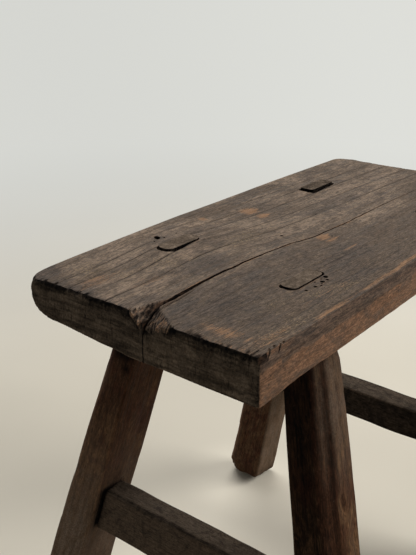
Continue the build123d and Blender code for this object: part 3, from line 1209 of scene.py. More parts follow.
def blacken_end(surface):
    """Soot along the near end's upper arris and down its right corner."""
    points = surface.points
    soot_reach = 0.0052 + 0.0026 * wobble(points, (1, 0.013, 1), 1.7)
    soot_reach = np.maximum(soot_reach + 0.0016 * wobble(points, (1, 0.0032, 1), 6.6), 0.0015)
    ticks = layered(points, (0.04, (1, 0.0022, 1), 5.5), (0.01, (1, 0.009, 1), 8.1))
    on_arc = smooth(0.975 + ticks - surface.normals[:, 2], 0.0, 0.03)
    on_arc = on_arc * (surface.from_near < 0.012) * ~surface.in_chip
    below_chip = surface.depth - surface.chip
    arris = np.maximum(surface.end_grain, on_arc)
    arris = arris * smooth(below_chip, -0.002, 0.0002) * swell(below_chip, soot_reach)
    teeth = smooth(wobble(points, (0.012, 0.0019, 1), 4.7), 0.05, 0.45)
    teeth = teeth * smooth(wobble(points, (1, 0.012, 1), 2.9), -0.5, 0.3)
    teeth = teeth * smooth(surface.normals[:, 2], 0.75, 0.95)
    teeth = teeth * (surface.depth < 0.004) * ~surface.in_chip
    teeth = teeth * swell(surface.from_near - 0.0035, 0.0040)
    corner_line = 1.4 * swell(surface.from_right - 0.003, 0.0036) * surface.end_grain
    corner_line = corner_line * (0.7 + 0.5 * wobble(points, (1, 1, 0.008), 3.6))
    black = np.max([1.45 * arris, 0.9 * teeth, corner_line], axis=0)
    return np.clip(black, 0, 1) * (surface.along < 0)


def in_crack(surface):
    """Which points lie inside the crack, where it is painted black as shade."""
    inside = surface.from_crack < 0.3 * surface.crack_width + 0.0001
    inside = inside & (surface.depth > 0.0007 + 1.3 * surface.chip)
    return inside & (surface.crack_depth > 0.0005)


def tone_seat(surface):
    """How much paler or darker the top is: painted sheen and light across it, then paler or darker
    patches.
    """
    along = surface.along
    across = surface.across
    # Painted sheen: the top paler towards the near left
    paler = 0.17 * smooth(-along, 0.02, 0.25) * smooth(across, -0.03, 0.10)
    # Painted light: a little paler towards the far end and darker over the right half
    paler = paler + 0.03 * smooth(along, -0.1, 0.1) - 0.20 * smooth(-across, 0.0, 0.05)
    return paler + sum(amount * surface.patch(*place) for *place, amount in PALE_PATCHES)


def dress_seat(piece):
    """Keeps on each point of the seat where its grain, wear, grime, painted shade and painted
    light lie.
    """
    surface = SeatSurface(piece)
    ring, line = seat_rings(surface)
    split = split_chip(surface)
    cracked = in_crack(surface)
    # Painted shade and grime: the crack black inside and the chip darker between its splinters
    shreds = surface.in_chip * np.clip(0.22 - 2.2 * surface.splinters, 0, 0.95)
    grime = np.max([np.where(cracked, 1.0, shreds), split, blacken_end(surface)], axis=0)
    # The walls of the crack, the mortises and the holes are painted black as shade
    set_corner_attribute(piece, "grime", grime, find_walls(piece))
    normals = surface.normals
    side = smooth(np.abs(normals[:, 1]), 0.45, 0.80) + smooth(-normals[:, 2], 0.2, 0.6)
    flecked = np.max([surface.patch(*place) for place in FLECKED_PATCHES], axis=0)
    # Painted reflection: a blue-grey band along the rounded right arris, kept with the stains
    painted_arris_reflection = swell(surface.from_right - 0.0025, 0.0030) * (surface.depth < 0.012)
    stains = [surface.patch(*place) for place in STAINS]
    for name, values in (
        ("grain", surface.grain),
        ("ring", ring),
        ("line", line),
        ("rubbed", np.clip(rub_seat(surface) * (1 - split), 0, 1)),
        ("end_grain", surface.end_grain),
        ("flank", np.clip(side, 0, 1) * ~cracked),
        ("bleach", tone_seat(surface)),
        ("flecked", flecked * surface.upward),
        ("stained", 0.32 * np.max([*stains, painted_arris_reflection], axis=0)),
    ):
        set_attribute(piece, name, values)


def make_seat():
    piece = add_block("worn_seat", seat_low, seat_high)
    for axis in (2, 0, 1):
        for count in SEAT_CUTS[axis]:
            divide(piece, axis, count)
    deselect_all()
    shape_seat(piece)
    apply_boolean(piece, join([add_mortise(name) for name in LEG_SIDES]), "DIFFERENCE")
    apply_boolean(piece, join(add_borings()), "DIFFERENCE")
    dress_seat(piece)
    return piece


def leg_order(name):
    """1 to 4, from which a leg's own noise starts."""
    return list(LEG_SIDES).index(name) + 1


def taper_leg(points, name):
    """A leg's points in its own form from foot to neck.

    Also gives each point's share of the way in from the outer face along X and out from the inner
    face across Y, and the middle of the section without its sides.
    """
    side_along, side_across = LEG_SIDES[name]
    outer_along, inner_along, outer_across, inner_across = leg_reaches(points[:, 2])
    inward_share = (outer_along - side_along * points[:, 0]) / (outer_along - inner_along)
    outward_share = (side_across * points[:, 1] - inner_across) / (outer_across - inner_across)
    share_up = points[:, 2] / seat_low.z
    height = seat_low.z * share_up * (0.45 + 0.55 * share_up)
    outer_along, inner_along, outer_across, inner_across = leg_reaches(height)
    stations, outer_moves, inner_moves = zip(*LEG_FORMS[name])
    outer_along = outer_along + np.interp(height, stations, outer_moves)
    inner_along = inner_along - np.interp(height, stations, inner_moves)
    outer_shift, inner_shift = FOOT_SHIFTS.get(name, (0, 0))
    share_down = 1 - height / seat_low.z
    outer_across = outer_across - outer_shift * share_down
    inner_across = inner_across - inner_shift * share_down
    facet_start, facet_slope = LEG_FACETS.get(name, (1.0, 0.0))
    facet = facet_slope * np.maximum(outward_share - facet_start, 0) * (1 - inward_share)
    thickness = outer_across - inner_across
    along = outer_along + inward_share * (inner_along - outer_along) - facet * thickness
    across = inner_across + outward_share * thickness
    tapered = np.stack([side_along * along, side_across * across, height], axis=1)
    middle = ((outer_along + inner_along) / 2, (outer_across + inner_across) / 2)
    return tapered, inward_share, outward_share, middle


def round_leg(points, name, seed, inward_share, outward_share, middle):
    """Rounds the outer half of a leg's section and wears the lower edge of its foot."""
    height = points[:, 2]
    foot_round, neck_round = LEG_ROUNDNESS[name]
    foot_radius, _, foot_corner = FOOT_WEAR[name]
    across_share = np.clip(2 * outward_share - 1, -1, 1)
    along_share = np.clip(1 - 2 * inward_share, -1, 1)
    reach = np.maximum(np.abs(across_share), np.abs(along_share))
    softened = np.cbrt(np.abs(across_share) ** 3 + np.abs(along_share) ** 3)
    roundness = foot_round + (neck_round - foot_round) * height / seat_low.z
    roundness = roundness * smooth(outward_share, 0.15, 0.75)
    rounder = 1 + roundness * (reach / np.maximum(softened, 0.01) - 1)
    circle = reach / np.maximum(np.hypot(across_share, along_share), 0.01)
    by_foot = foot_corner * smooth(0.025 - height, 0, 0.022) * smooth(outward_share, 0.35, 0.75)
    rounder = rounder + by_foot * (circle - 1)
    radius = foot_radius * (1 + 0.30 * wobble(points, (0.015, 0.015, 0.02), seed + 8))
    below = np.clip(1 - height / radius, 0, 1)
    rounder = rounder - radius * (1 - np.sqrt(1 - below**2)) / 0.027
    for axis, side in enumerate(LEG_SIDES[name]):
        centre = side * middle[axis]
        points[:, axis] = centre + (points[:, axis] - centre) * rounder


def carve_leg(piece, name):
    """Wears a leg's block: its own taper, hewn faces, soft corners and a scuffed foot."""
    side_along, side_across = LEG_SIDES[name]
    seed = 11.0 * leg_order(name)
    normals = get_normals(piece)
    points, inward_share, outward_share, middle = taper_leg(get_points(piece), name)
    round_leg(points, name, seed, inward_share, outward_share, middle)
    height = points[:, 2].copy()
    off_along = side_along * points[:, 0] - middle[0]
    off_across = side_across * points[:, 1] - middle[1]
    grain = np.stack([height, off_along, off_across], axis=1)
    sink = 0.0008 * (1 - smooth(height, 0.0, 0.040))
    sink = sink + layered(
        grain,
        (0.0008, (0.090, 0.030, 0.030), seed),
        (0.00030, (0.060, 0.0040, 0.0040), seed + 2),
        (0.00022, (0.045, 0.0020, 0.0020), seed + 4),
    )
    dents = np.maximum(wobble(grain, (0.020, 0.008, 0.008), seed + 6) - 0.62, 0)
    sink = (sink + 0.0035 * dents) * smooth(height, 0.0, 0.012)
    points = points - normals * np.where(np.abs(normals[:, 2]) > 0.8, 0, sink)[:, None]
    lift = FOOT_WEAR[name][1] * inward_share * smooth(0.050 - height, 0, 0.05)
    points[:, 2] = np.maximum(np.where(height < 0.0005, 0, points[:, 2]), 0) + lift
    set_points(piece, points)


def find_tenon_sides(piece):
    """Which faces of a leg stand upright inside or above the seat, which are painted black as the
    shade in the mortise's gap.
    """
    centres, normals = get_faces(piece)
    return (centres[:, 2] > seat_low.z) & (np.abs(normals[:, 2]) < 0.7)


class LegSurface:
    """Every point of a finished leg, measured from its middle line and by where it faces."""

    def __init__(self, piece, name):
        side_along, side_across = LEG_SIDES[name]
        points = get_points(piece)
        normals = get_normals(piece)
        self.name = name
        self.side_along = side_along
        self.seed = 7.0 * leg_order(name)
        self.along, across, self.height = points.T
        outer_along, inner_along, outer_across, inner_across = leg_reaches(self.height)
        self.off_along = side_along * self.along - (outer_along + inner_along) / 2
        self.off_across = side_across * across - (outer_across + inner_across) / 2
        self.along_share = 2 * self.off_along / (outer_along - inner_along)
        self.outward_share = (side_across * across - inner_across) / (outer_across - inner_across)
        self.grain = np.stack([self.height, self.off_along, self.off_across], axis=1)
        self.fine = wobble(self.grain, (0.060, 0.0045, 0.0045), self.seed + 5)
        self.up = normals[:, 2]
        self.turned_along = side_along * normals[:, 0]
        self.turned_across = side_across * normals[:, 1]
        self.faces_along = np.abs(normals[:, 0])
        self.corner = smooth(np.minimum(self.faces_along, np.abs(normals[:, 1])), 0.22, 0.55)
        self.outer_face = smooth(self.turned_along, 0.35, 0.80)
        self.inner_side = smooth(-self.turned_across, 0.3, 0.8)
        self.outer_side = smooth(self.turned_across, 0.3, 0.8)
        self.on_tenon = (self.height > seat_high.z - 0.0008) & (self.up > 0.5)


def leg_rings(surface):
    """Number of the growth ring at each point, round a pith outside the leg."""
    pith = np.hypot(surface.off_along + 0.030, surface.off_across + 0.055)
    bend = 0.0010 * wobble(surface.grain, (0.15, 0.05, 0.05), surface.seed)
    return (pith + bend) / 0.0062


def rub_leg(surface, soot_and_shade):
    """How far a leg's arrises are rubbed, most where hands take hold of the inner one."""
    height = surface.height
    streaks = 0.55 + 0.6 * wobble(surface.grain, (0.12, 0.012, 0.012), surface.seed + 1)
    inner_arris = (surface.corner > 0) & (surface.turned_across < 0) & (surface.turned_along > 0)
    handled = smooth(height, 0.26, 0.33) * smooth(0.405 - height, 0, 0.03)
    rubbed = surface.corner * streaks * (1 - 0.7 * soot_and_shade)
    return np.clip(rubbed * np.where(inner_arris, 1.6 * handled, 0.7), 0, 1)


def joint_shade(surface):
    """Painted shade in the corner round the stretcher's shoulder, where the open joint is dark."""
    roll = surface.side_along * leg_roll()
    bar = bpy.context.scene.stool_stretcher
    bar_along, bar_height = bar_middle(surface.side_along)
    bar_depth = bar_levels(surface.side_along)[1]
    off_along = surface.along - bar_along
    off_height = surface.height - bar_height
    beside = np.abs(off_along * np.cos(roll) + off_height * np.sin(roll))
    above = np.abs(off_height * np.cos(roll) - off_along * np.sin(roll))
    joint = swell(np.maximum(beside - bar.thickness / 2 - 0.001, 0), 0.0022)
    joint = joint * swell(np.maximum(above - bar_depth / 2 + 0.002, 0), 0.0030)
    return joint * surface.inner_side


def blacken_leg(surface, soot_and_shade, band):
    """Soot and painted shade on a leg's outer face and at its arris, black spots by the seat and
    painted shade by the stretcher.
    """
    height = surface.height
    sooty_and_shaded = 0.85 + 0.25 * wobble(surface.grain, (0.06, 0.012, 0.012), surface.seed + 3)
    # Soot and painted shade on the outer face along X
    sooty_and_shaded = sooty_and_shaded * soot_and_shade * surface.outer_face
    edge = surface.outward_share - 0.08 * smooth(0.30 - height, 0, 0.15)
    sooty_and_shaded = sooty_and_shaded * (1 - 0.55 * smooth(edge, 0.60, 0.74))
    sooty_and_shaded = sooty_and_shaded * (1 + 0.15 * smooth(height, 0.36, 0.42))
    streaky = 0.62 * soot_and_shade * band * (0.45 + 0.55 * smooth(surface.fine, -0.10, 0.40))
    sooty_and_shaded = np.max([sooty_and_shaded, streaky, joint_shade(surface)], axis=0)
    for spot_height, spot_across, reach in ARRIS_SPOTS.get(surface.name, ()):
        spot = swell(height - spot_height, 1.7 * reach)
        spot = spot * swell(surface.off_across - spot_across, 1.3 * reach)
        spot = np.clip(1.6 * spot * (0.90 + 0.4 * surface.fine), 0, 0.95)
        sooty_and_shaded = np.maximum(sooty_and_shaded, spot * (surface.turned_along > 0.2))
    return np.clip(sooty_and_shaded, 0, 1)


def darken_leg(surface, soot_and_shade, band, tenon_grime):
    """Grime, soot and painted shade of a leg, from its scuffed foot to its tenon."""
    height = surface.height
    # Painted shade: darker just under the seat, and black where the tenon sits in the seat
    under_seat = 0.55 * smooth(height, seat_low.z - 0.035, seat_low.z)
    under_seat = under_seat * (0.6 + 0.4 * surface.corner)
    grime = np.where(height > seat_low.z - 0.0005, 1.0, under_seat)
    foot = 0.5 * smooth(0.030 - height, 0, 0.03)
    grime = np.max([grime, foot, blacken_leg(surface, soot_and_shade, band)], axis=0)
    return np.where(surface.on_tenon, tenon_grime, grime)


def dust_leg(surface, outer_light):
    """Dust on the faces of a leg, which shows as end grain does."""
    start, full, along, inner, outer = LEG_DUST[surface.name]
    faces = [along * surface.faces_along, inner * surface.inner_side, outer * outer_light]
    dusty = np.max(faces, axis=0) * smooth(surface.height, start, full)
    return np.where(surface.on_tenon | (surface.up < -0.8), 1.0, dusty)


def tone_leg(surface, outer_light, inner_paleness):
    """How much paler or darker each face of a leg is on its way up, as painted light and shade."""
    height = surface.height
    near_top = smooth(height, 0.33, 0.43)
    lower = smooth(0.24 - height, 0, 0.10)
    sheltered = 1 - surface.inner_side * (inner_paleness > 0)
    # Painted shade: the faces along X darker near the seat and paler lower down
    paler = (0.65 * smooth(0.335 - height, 0, 0.14) - 0.10) * surface.faces_along
    # Painted shade under the seat on all but the outer side
    paler = paler - 0.45 * near_top * (1 - surface.outer_side) * sheltered
    # Painted highlight: the outer side paler, most near the top, and darker lower down
    paler = paler + (0.12 + 0.56 * near_top - 0.16 * lower) * outer_light
    # Painted light and shade on the inner face across Y
    return paler + inner_paleness * surface.inner_side


def dress_leg(piece, name):
    """Keeps on each point of a leg where its grain, wear, grime and painted light and shade lie.
    """
    surface = LegSurface(piece, name)
    soot_and_shade, inner_paleness, tenon_grime = LEG_TONES[name]
    band = swell(surface.turned_across - 0.62, 0.24)
    faint = 0.15 * swell(surface.outward_share - 0.84, 0.15) * surface.outer_face
    band = np.maximum(band, faint)
    clean = smooth(surface.turned_across, 0.60, 0.93)
    # The outer side, less where soot and painted shade lie, takes the painted highlight and the
    # dust
    outer_light = surface.outer_side + soot_and_shade * (clean - surface.outer_side)
    by_arris = 0.3 * smooth(surface.along_share, -0.1, 0.9) * surface.outer_side
    reddened = soot_and_shade * np.maximum(band, by_arris)
    lee = smooth(-surface.turned_along, 0.3, 0.8)
    grime = darken_leg(surface, soot_and_shade, band, tenon_grime)
    # The tenon's sides are painted black as shade
    set_corner_attribute(piece, "grime", grime, find_tenon_sides(piece))
    for attribute_name, values in (
        ("grain", surface.grain + surface.seed),
        ("ring", leg_rings(surface)),
        ("line", np.full(len(surface.height), 0.45)),
        ("rubbed", rub_leg(surface, soot_and_shade)),
        ("stained", 0.04 + 0.50 * reddened * (1 + 0.5 * surface.fine)),
        ("end_grain", dust_leg(surface, outer_light)),
        ("flank", np.where(surface.on_tenon, 0.0, lee)),
        ("bleach", tone_leg(surface, outer_light, inner_paleness)),
    ):
        set_attribute(piece, attribute_name, values)


def leg_roll():
    """How far a leg leans along X."""
    return atan(bpy.context.scene.stool_leg.splay_along / seat_low.z)


def bar_levels(side_along):
    """Height of a stretcher's outer top arris and the depth of its bar."""
    bar = bpy.context.scene.stool_stretcher
    if side_along < 0:
        return bar.top_height, bar.height
    return bar.top_height - FAR_STRETCHER_DROP, bar.height - FAR_STRETCHER_SLIMNESS


def bar_middle(side_along):
    """Middle of a stretcher's section, as X and Z."""
    bar = bpy.context.scene.stool_stretcher
    top, depth = bar_levels(side_along)
    roll = leg_roll()
    along = leg_reaches(top)[0] - (bar.setback + bar.thickness / 2) * np.cos(roll)
    along = along + depth / 2 * np.sin(roll)
    height = top - depth / 2 * np.cos(roll) - (bar.setback + bar.thickness / 2) * np.sin(roll)
    return side_along * along, height


def lean_bar(points, side_along):
    """Turns points of an upright bar section to lie with the legs' faces."""
    middle_along, middle_height = bar_middle(side_along)
    roll = side_along * leg_roll()
    along = points[:, 0] * np.cos(roll) - points[:, 2] * np.sin(roll)
    height = points[:, 0] * np.sin(roll) + points[:, 2] * np.cos(roll)
    return np.stack([along + middle_along, points[:, 1], height + middle_height], axis=1)


def add_bar(name, side_along, width, height, reach):
    """A leaning block across the stool whose section is width by height."""
    block = add_block(name, (-width / 2, -reach, -height / 2), (width / 2, reach, height / 2))
    set_points(block, lean_bar(get_points(block), side_along))
    return block


def make_leg(name):
    leg = bpy.context.scene.stool_leg
    bar = bpy.context.scene.stool_stretcher
    side_along, side_across = LEG_SIDES[name]
    piece = add_block("worn_" + name, (-1, -1, 0), (1, 1, seat_low.z))
    ends = []
    for height in (0, seat_low.z):
        outer_along, inner_along, outer_across, inner_across = leg_reaches(height)
        along = sorted((side_along * outer_along, side_along * inner_along))
        across = sorted((side_across * outer_across, side_across * inner_across))
        ends.append((along, across))
    place_ends(piece, *ends)
    middle_across = sum(leg_reaches(seat_low.z / 2)[2:]) / 2

    def is_outer(edge):
        return runs_along(edge, 2) and side_across * middle_of(edge).y > middle_across

    def is_inner(edge):
        return (
            runs_along(edge, 2)
            and edge.calc_length() > seat_low.z / 2
            and side_across * middle_of(edge).y < middle_across - leg.top_thickness / 4
            and edge.calc_face_angle(0) > radians(60)
        )

    def is_lowest(edge):
        return max(corner.co.z for corner in edge.verts) < 1e-5

    bevel_edges(piece, is_outer, leg.outer_rounding, 6)
    bevel_edges(piece, is_inner, leg.inner_rounding, 2)
    bevel_edges(piece, is_lowest, leg.foot_rounding, 3)
    divide(piece, 2, 159, shortest=0.1)
    divide(piece, 0, 13, shortest=0.010)
    divide(piece, 1, 11, shortest=0.010)
    deselect_all()
    carve_leg(piece, name)

    slot_width = bar.tenon_thickness + SLOT_ROOM
    slot_height = bar.tenon_height + SLOT_ROOM_ABOVE
    slot = add_bar(name + "_slot", side_along, slot_width, slot_height, leg.foot_reach_across)
    apply_boolean(piece, slot, "DIFFERENCE")
    tenon = add_tenon(name, seat_low.z - TENON_OVERLAP, seat_high.z + TENON_RISES[name])
    divide(tenon, 0, 18, shortest=0.010)
    divide(tenon, 1, 6, shortest=0.005)
    deselect_all()
    apply_boolean(piece, tenon, "UNION")
    dress_leg(piece, name)
    return piece


def add_stretcher(name):
    """A stretcher's block, 1 to each side, with its tenons drawn out from 1 to 2."""
    bar = bpy.context.scene.stool_stretcher
    depth = bar_levels(STRETCHER_SIDES[name])[1]
    low = (-bar.thickness / 2, -1, -depth / 2)
    piece = add_block("worn_" + name, low, (bar.thickness / 2, 1, depth / 2))
    bevel_edges(piece, lambda edge: runs_along(edge, 1), bar.rounding, 3)
    divide(piece, 1, 99, shortest=0.1)
    divide(piece, 0, 9, shortest=0.010)
    divide(piece, 2, 13, shortest=0.010)
    for side in (-1, 1):
        pick(piece, "faces", lambda face: side * middle_of(face).y > 0.999)
        bpy.ops.mesh.extrude_region_move()
        bpy.ops.transform.resize(
            value=(bar.tenon_thickness / bar.thickness, 1, bar.tenon_height / depth),
            center_override=(0, side, 0),
        )
        bpy.ops.mesh.extrude_region_move(TRANSFORM_OT_translate={"value": (0, side, 0)})
    deselect_all()
    return piece


def shape_stretcher(piece, side_along, points, share, grain, seed):
    """Wears the bar, leans it with the legs and fits its shoulders and tenons to them."""
    bar = bpy.context.scene.stool_stretcher
    sink = layered(
        grain,
        (0.0007, (0.075, 0.05, 0.05), seed),
        (0.00022, (0.050, 0.0035, 0.0035), seed + 3),
        (0.00014, (0.040, 0.0018, 0.0018), seed + 5),
    )
    sink = np.where(np.abs(share) < 0.9999, sink, 0)
    points = points - get_normals(piece) * sink[:, None]
    leaning = lean_bar(points, side_along)
    reaches = leg_reaches(leaning[:, 2])
    to_face = smooth(side_along * points[:, 0], -bar.thickness / 2, bar.thickness / 2)
    painted_arris_reflection = reaches[3] - bar.shoulder_gap * (share > 0) * to_face
    painted_arris_reflection = painted_arris_reflection * np.minimum(np.abs(share), 1)
    length = np.where(np.abs(share) > 1.5, reaches[2] - TENON_SETBACK, painted_arris_reflection)
    leaning[:, 1] = np.sign(share) * length
    set_points(piece, leaning)
    return points


def darken_stretcher(side_along, points, share, grain, seed, upward):
    """Painted shade at a stretcher's shoulders, soot in the seam below its outer arris and painted
    shade on the far bar's side and lower faces.
    """
    bar = bpy.context.scene.stool_stretcher
    # Painted shade in the open joints at the shoulders
    joint = smooth(np.abs(share), 0.965, 1.0)
    wavy = 0.0013 + 0.0009 * wobble(grain, (0.030, 1, 1), seed + 9)
    to_arris = bar.thickness / 2 - side_along * points[:, 0] - wavy
    seam = swell(to_arris, 0.0014) * smooth(upward, 0.1, 0.5)
    seam = seam * (0.8 + 0.2 * wobble(grain, (0.012, 1, 1), seed + 2))
    # Painted shade on the far bar's side and lower faces
    lee = 0.65 * (side_along > 0) * smooth(0.4 - upward, 0, 0.4)
    return np.max([0.8 * joint, 0.85 * seam, lee], axis=0)


def make_stretcher(name):
    bar = bpy.context.scene.stool_stretcher
    side_along = STRETCHER_SIDES[name]
    seed = 31.0 + side_along
    piece = add_stretcher(name)
    points = get_points(piece)
    share = points[:, 1].copy()
    length = share * bpy.context.scene.stool_leg.foot_reach_across
    grain = np.stack([length, points[:, 0], points[:, 2]], axis=1)
    points = shape_stretcher(piece, side_along, points, share, grain, seed)

    upward = get_normals(piece)[:, 2]
    half_width = bar.thickness / 2
    half_depth = bar_levels(side_along)[1] / 2
    width_out = np.abs(points[:, 0])
    depth_out = np.abs(points[:, 2])
    outline = np.clip(np.maximum(width_out / half_width, depth_out / half_depth), 0, 1)
    near_corner = swell(width_out - half_width, 0.0028) * swell(depth_out - half_depth, 0.0028)
    pith = np.hypot(points[:, 0] + 0.010, points[:, 2] + 0.050)
    on_end = np.abs(share) > 1.9
    grime = darken_stretcher(side_along, points, share, grain, seed, upward)
    face = smooth(0.6 - upward, 0, 0.5)
    for attribute_name, values in (
        ("grain", grain + seed),
        ("ring", pith / 0.0055 + 0.2 * wobble(grain, (0.12, 0.05, 0.05), seed)),
        ("line", np.full(len(points), 0.35)),
        ("rubbed", 0.3 * near_corner * outline),
        ("grime", np.where(on_end, 0.2, grime)),
        ("end_grain", on_end),
        ("flank", face),
        ("bleach", smooth(upward, 0.4, 0.9)),
        # Painted shade: the far bar's side faces darker
        ("stained", 0.10 * (side_along > 0) * face),
    ):
        set_attribute(piece, attribute_name, values)
    return piece


def add_node(tree, kind, inputs=None, **settings):
    """Adds a shader node: inputs take a number, a colour, a Value or another node's output."""
    node = tree.nodes.new(kind)
    for key, value in settings.items():
        setattr(node, key, value)
    for key, value in (inputs or {}).items():
        value = getattr(value, "socket", value)
        if isinstance(value, bpy.types.NodeSocket):
            tree.links.new(value, node.inputs[key])
        else:
            node.inputs[key].default_value = value
    return node


class Value:
    """A number that flows between shader nodes and is reckoned with as numbers are."""

    def __init__(self, tree, socket):
        self.tree = tree
        self.socket = socket

    def calc(self, operation, first, second=0.0):
        node = add_node(self.tree, "ShaderNodeMath", {0: first, 1: second}, operation=operation)
        return Value(self.tree, node.outputs["Value"])

    def __add__(self, other):
        return self.calc("ADD", self, other)

    def __sub__(self, other):
        return self.calc("SUBTRACT", self, other)

    def __rsub__(self, other):
        return self.calc("SUBTRACT", other, self)

    def __mul__(self, other):
        return self.calc("MULTIPLY", self, other)

    def __abs__(self):
        return self.calc("ABSOLUTE", self)

    def fraction(self):
        return self.calc("FRACT", self)

    def larger(self, other):
        return self.calc("MAXIMUM", self, other)

    def smaller(self, other):
        return self.calc("MINIMUM", self, other)

    def step(self, low, high, to_low=0.0, to_high=1.0):
        """A soft step from one value to another between low and high."""
        inputs = {"Value": self, "From Min": low, "From Max": high}
        inputs.update({"To Min": to_low, "To Max": to_high})
        node = add_node(self.tree, "ShaderNodeMapRange", inputs, interpolation_type="SMOOTHSTEP")
        return Value(self.tree, node.outputs["Result"])

    def mix(self, first, second, blend="MIX"):
        """The first colour at 0 and the second at 1."""
        inputs = {0: self, 6: first, 7: second}
        node = add_node(self.tree, "ShaderNodeMix", inputs, data_type="RGBA", blend_type=blend)
        return node.outputs[2]

    def shade(self, colour, low, high, dark, light):
        """Darkens and lightens a colour as this value goes from low to high."""
        value = self.step(low, high, dark, light)
        grey = add_node(self.tree, "ShaderNodeCombineXYZ", {0: value, 1: value, 2: value})
        inputs = {0: 1.0, 6: colour, 7: grey.outputs["Vector"]}
        settings = {"data_type": "RGBA", "blend_type": "MULTIPLY"}
        return add_node(self.tree, "ShaderNodeMix", inputs, **settings).outputs[2]


def attribute(tree, name):
    node = add_node(tree, "ShaderNodeAttribute", attribute_type="GEOMETRY", attribute_name=name)
    return Value(tree, node.outputs["Fac"])


def grain_noise(tree, grain, lengths, detail, distortion):
    """Noise drawn out along the grain: its wavelengths along, across and in depth, in metres."""
    inputs = {"Vector": grain, "Scale": [1 / length for length in lengths]}
    stretched = add_node(tree, "ShaderNodeMapping", inputs, vector_type="POINT")
    inputs = {"Vector": stretched.outputs["Vector"], "Scale": 1.0, "Roughness": 0.6}
    inputs.update({"Detail": detail, "Distortion": distortion})
    return Value(tree, add_node(tree, "ShaderNodeTexNoise", inputs).outputs["Fac"])


def opaque(colour, gain=1.0):
    return (*(channel * gain for channel in colour), 1.0)


def vector_value(tree, operation, first, second=(0, 0, 0)):
    """A length, distance or product of vectors."""
    inputs = {0: first} if operation == "LENGTH" else {0: first, 1: second}
    node = add_node(tree, "ShaderNodeVectorMath", inputs, operation=operation)
    return Value(tree, node.outputs["Value"])


def new_material(name):
    """An empty node material and its tree."""
    material = bpy.data.materials.new(name)
    material.use_nodes = True
    material.node_tree.nodes.clear()
    return material, material.node_tree


def show_shader(tree, output_kind, kind, inputs):
    """Adds a material's or world's last node and sends it to the surface."""
    shader = add_node(tree, kind, inputs)
    output = add_node(tree, output_kind)
    tree.links.new(shader.outputs[0], output.inputs["Surface"])


def weathered_colour(tones, contrast, wear, patterns):
    """Colour of bare long grain: paler and darker patches, partly painted light and shade, stains,
    partly painted reflection and shade, streaks and fibres.
    """
    fibre, speckle, _ = contrast
    shade = (patterns.blotches + wear.bleach).step(0.39, 0.76)
    colour = shade.mix(opaque(tones.body), opaque(tones.pale))
    colour = (wear.flank * 0.9).mix(colour, opaque(tones.flank))
    stained = patterns.stains + wear.stained + patterns.offset * (wear.stained * 1.6)
    colour = stained.step(0.50, 0.70, 0.0, 0.70).mix(colour, opaque(tones.stain))
    stain_streaks = wear.stained * patterns.strands.step(0.53, 0.43, 0.0, 1.3)
    colour = stain_streaks.mix(colour, opaque(tones.dark))
    colour = patterns.streaks.step(0.48, 0.24, 0.0, 0.50).mix(colour, opaque(tones.dark))
    colour = patterns.strands.shade(colour, 0.30, 0.70, 0.82, 1.18)
    colour = patterns.fibres.shade(colour, 0.30, 0.70, 1 - 0.54 * fibre, 1 + 0.56 * fibre)
    colour = patterns.speckles.shade(colour, 0.32, 0.68, 1 - 0.30 * speckle, 1 + 0.34 * speckle)
    return patterns.mottle.shade(colour, 0.30, 0.70, 0.80, 1.20)


def ring_lines(wear, patterns):
    """Shares of the thin line and of the darker late wood at each growth ring."""
    from_middle = abs(wear.ring.fraction() - 0.5)
    wander = (patterns.streaks - 0.5) * 0.05
    to_line = 0.5 - (from_middle + wander)
    broken = wear.line * patterns.blotches.step(0.34, 0.56, 0.6, 1.0)
    thin_line = to_line.step(0.034, 0.018) * broken
    late_wood = to_line.step(0.20, 0.02, 0.0, 0.30) * broken
    return thin_line, (thin_line * 0.96).larger(late_wood)


def flecked_colour(tones, colour, flecked, patterns):
    """Adds the straw-coloured flecks to the wood."""
    flecks = (patterns.flecks + flecked * 0.11).step(0.62, 0.74, 0.0, 0.5)
    flecks = flecks * patterns.stains.step(0.62, 0.42, 0.25, 1.0)
    return flecks.mix(colour, opaque(tones.fleck))


def rubbed_colour(tones, colour, wear, patterns):
    """Shows the fresher wood where a piece is rubbed, in broken patches."""
    worn = wear.rubbed + patterns.offset * 1.3 + (patterns.pits - 0.5)
    worn = worn.step(0.28, 0.75) * wear.rubbed.step(0.02, 0.30)
    fresh = patterns.fibres.shade(opaque(tones.rubbed), 0.28, 0.72, 0.55, 1.3)
    return (worn * 0.85).mix(colour, fresh)


def end_grain_colour(tones, end, patterns, checks):
    """Colour of weathered end grain: bands, pits, stains and fine checks."""
    cut = patterns.bands.shade(opaque(tones.cut), 0.32, 0.68, 1 - 0.55 * end, 1 + 0.45 * end)
    cut = patterns.pits.shade(cut, 0.30, 0.70, 0.72, 1.30)
    cut = patterns.stains.shade(cut, 0.35, 0.65, 0.70, 1.25)
    cut = checks.mix(cut, opaque(tones.dark))
    return patterns.flecks.step(0.60, 0.74, 0.0, 0.30).mix(cut, opaque(tones.rubbed))


def soot_and_shade_cover(grime, patterns):
    """How far soot, grime and painted shade hide the wood, with a streaky edge."""
    streaky = patterns.offset * (grime * (1.0 - grime) * 8.5)
    soot_and_shade = (grime + streaky).smaller(1.0).larger(0.0)
    return soot_and_shade * patterns.mottle.step(0.70, 0.40, 0.78, 1.0)


def wood_relief(tree, end_grain, patterns, thin_line, pores, checks):
    """Fine relief: fibres, lines and pores on long grain, bands, pits and checks on end grain."""
    relief = patterns.fibres * 0.40 + patterns.strands * 0.60 + patterns.mottle * 0.45
    relief = relief - thin_line * 0.6 - pores * 0.40
    inputs = {0: end_grain, 2: relief, 3: patterns.bands + patterns.pits - checks}
    height = add_node(tree, "ShaderNodeMix", inputs, data_type="FLOAT").outputs[0]
    inputs = {"Strength": 0.9, "Distance": 0.0008, "Height": height}
    return add_node(tree, "ShaderNodeBump", inputs).outputs["Normal"]


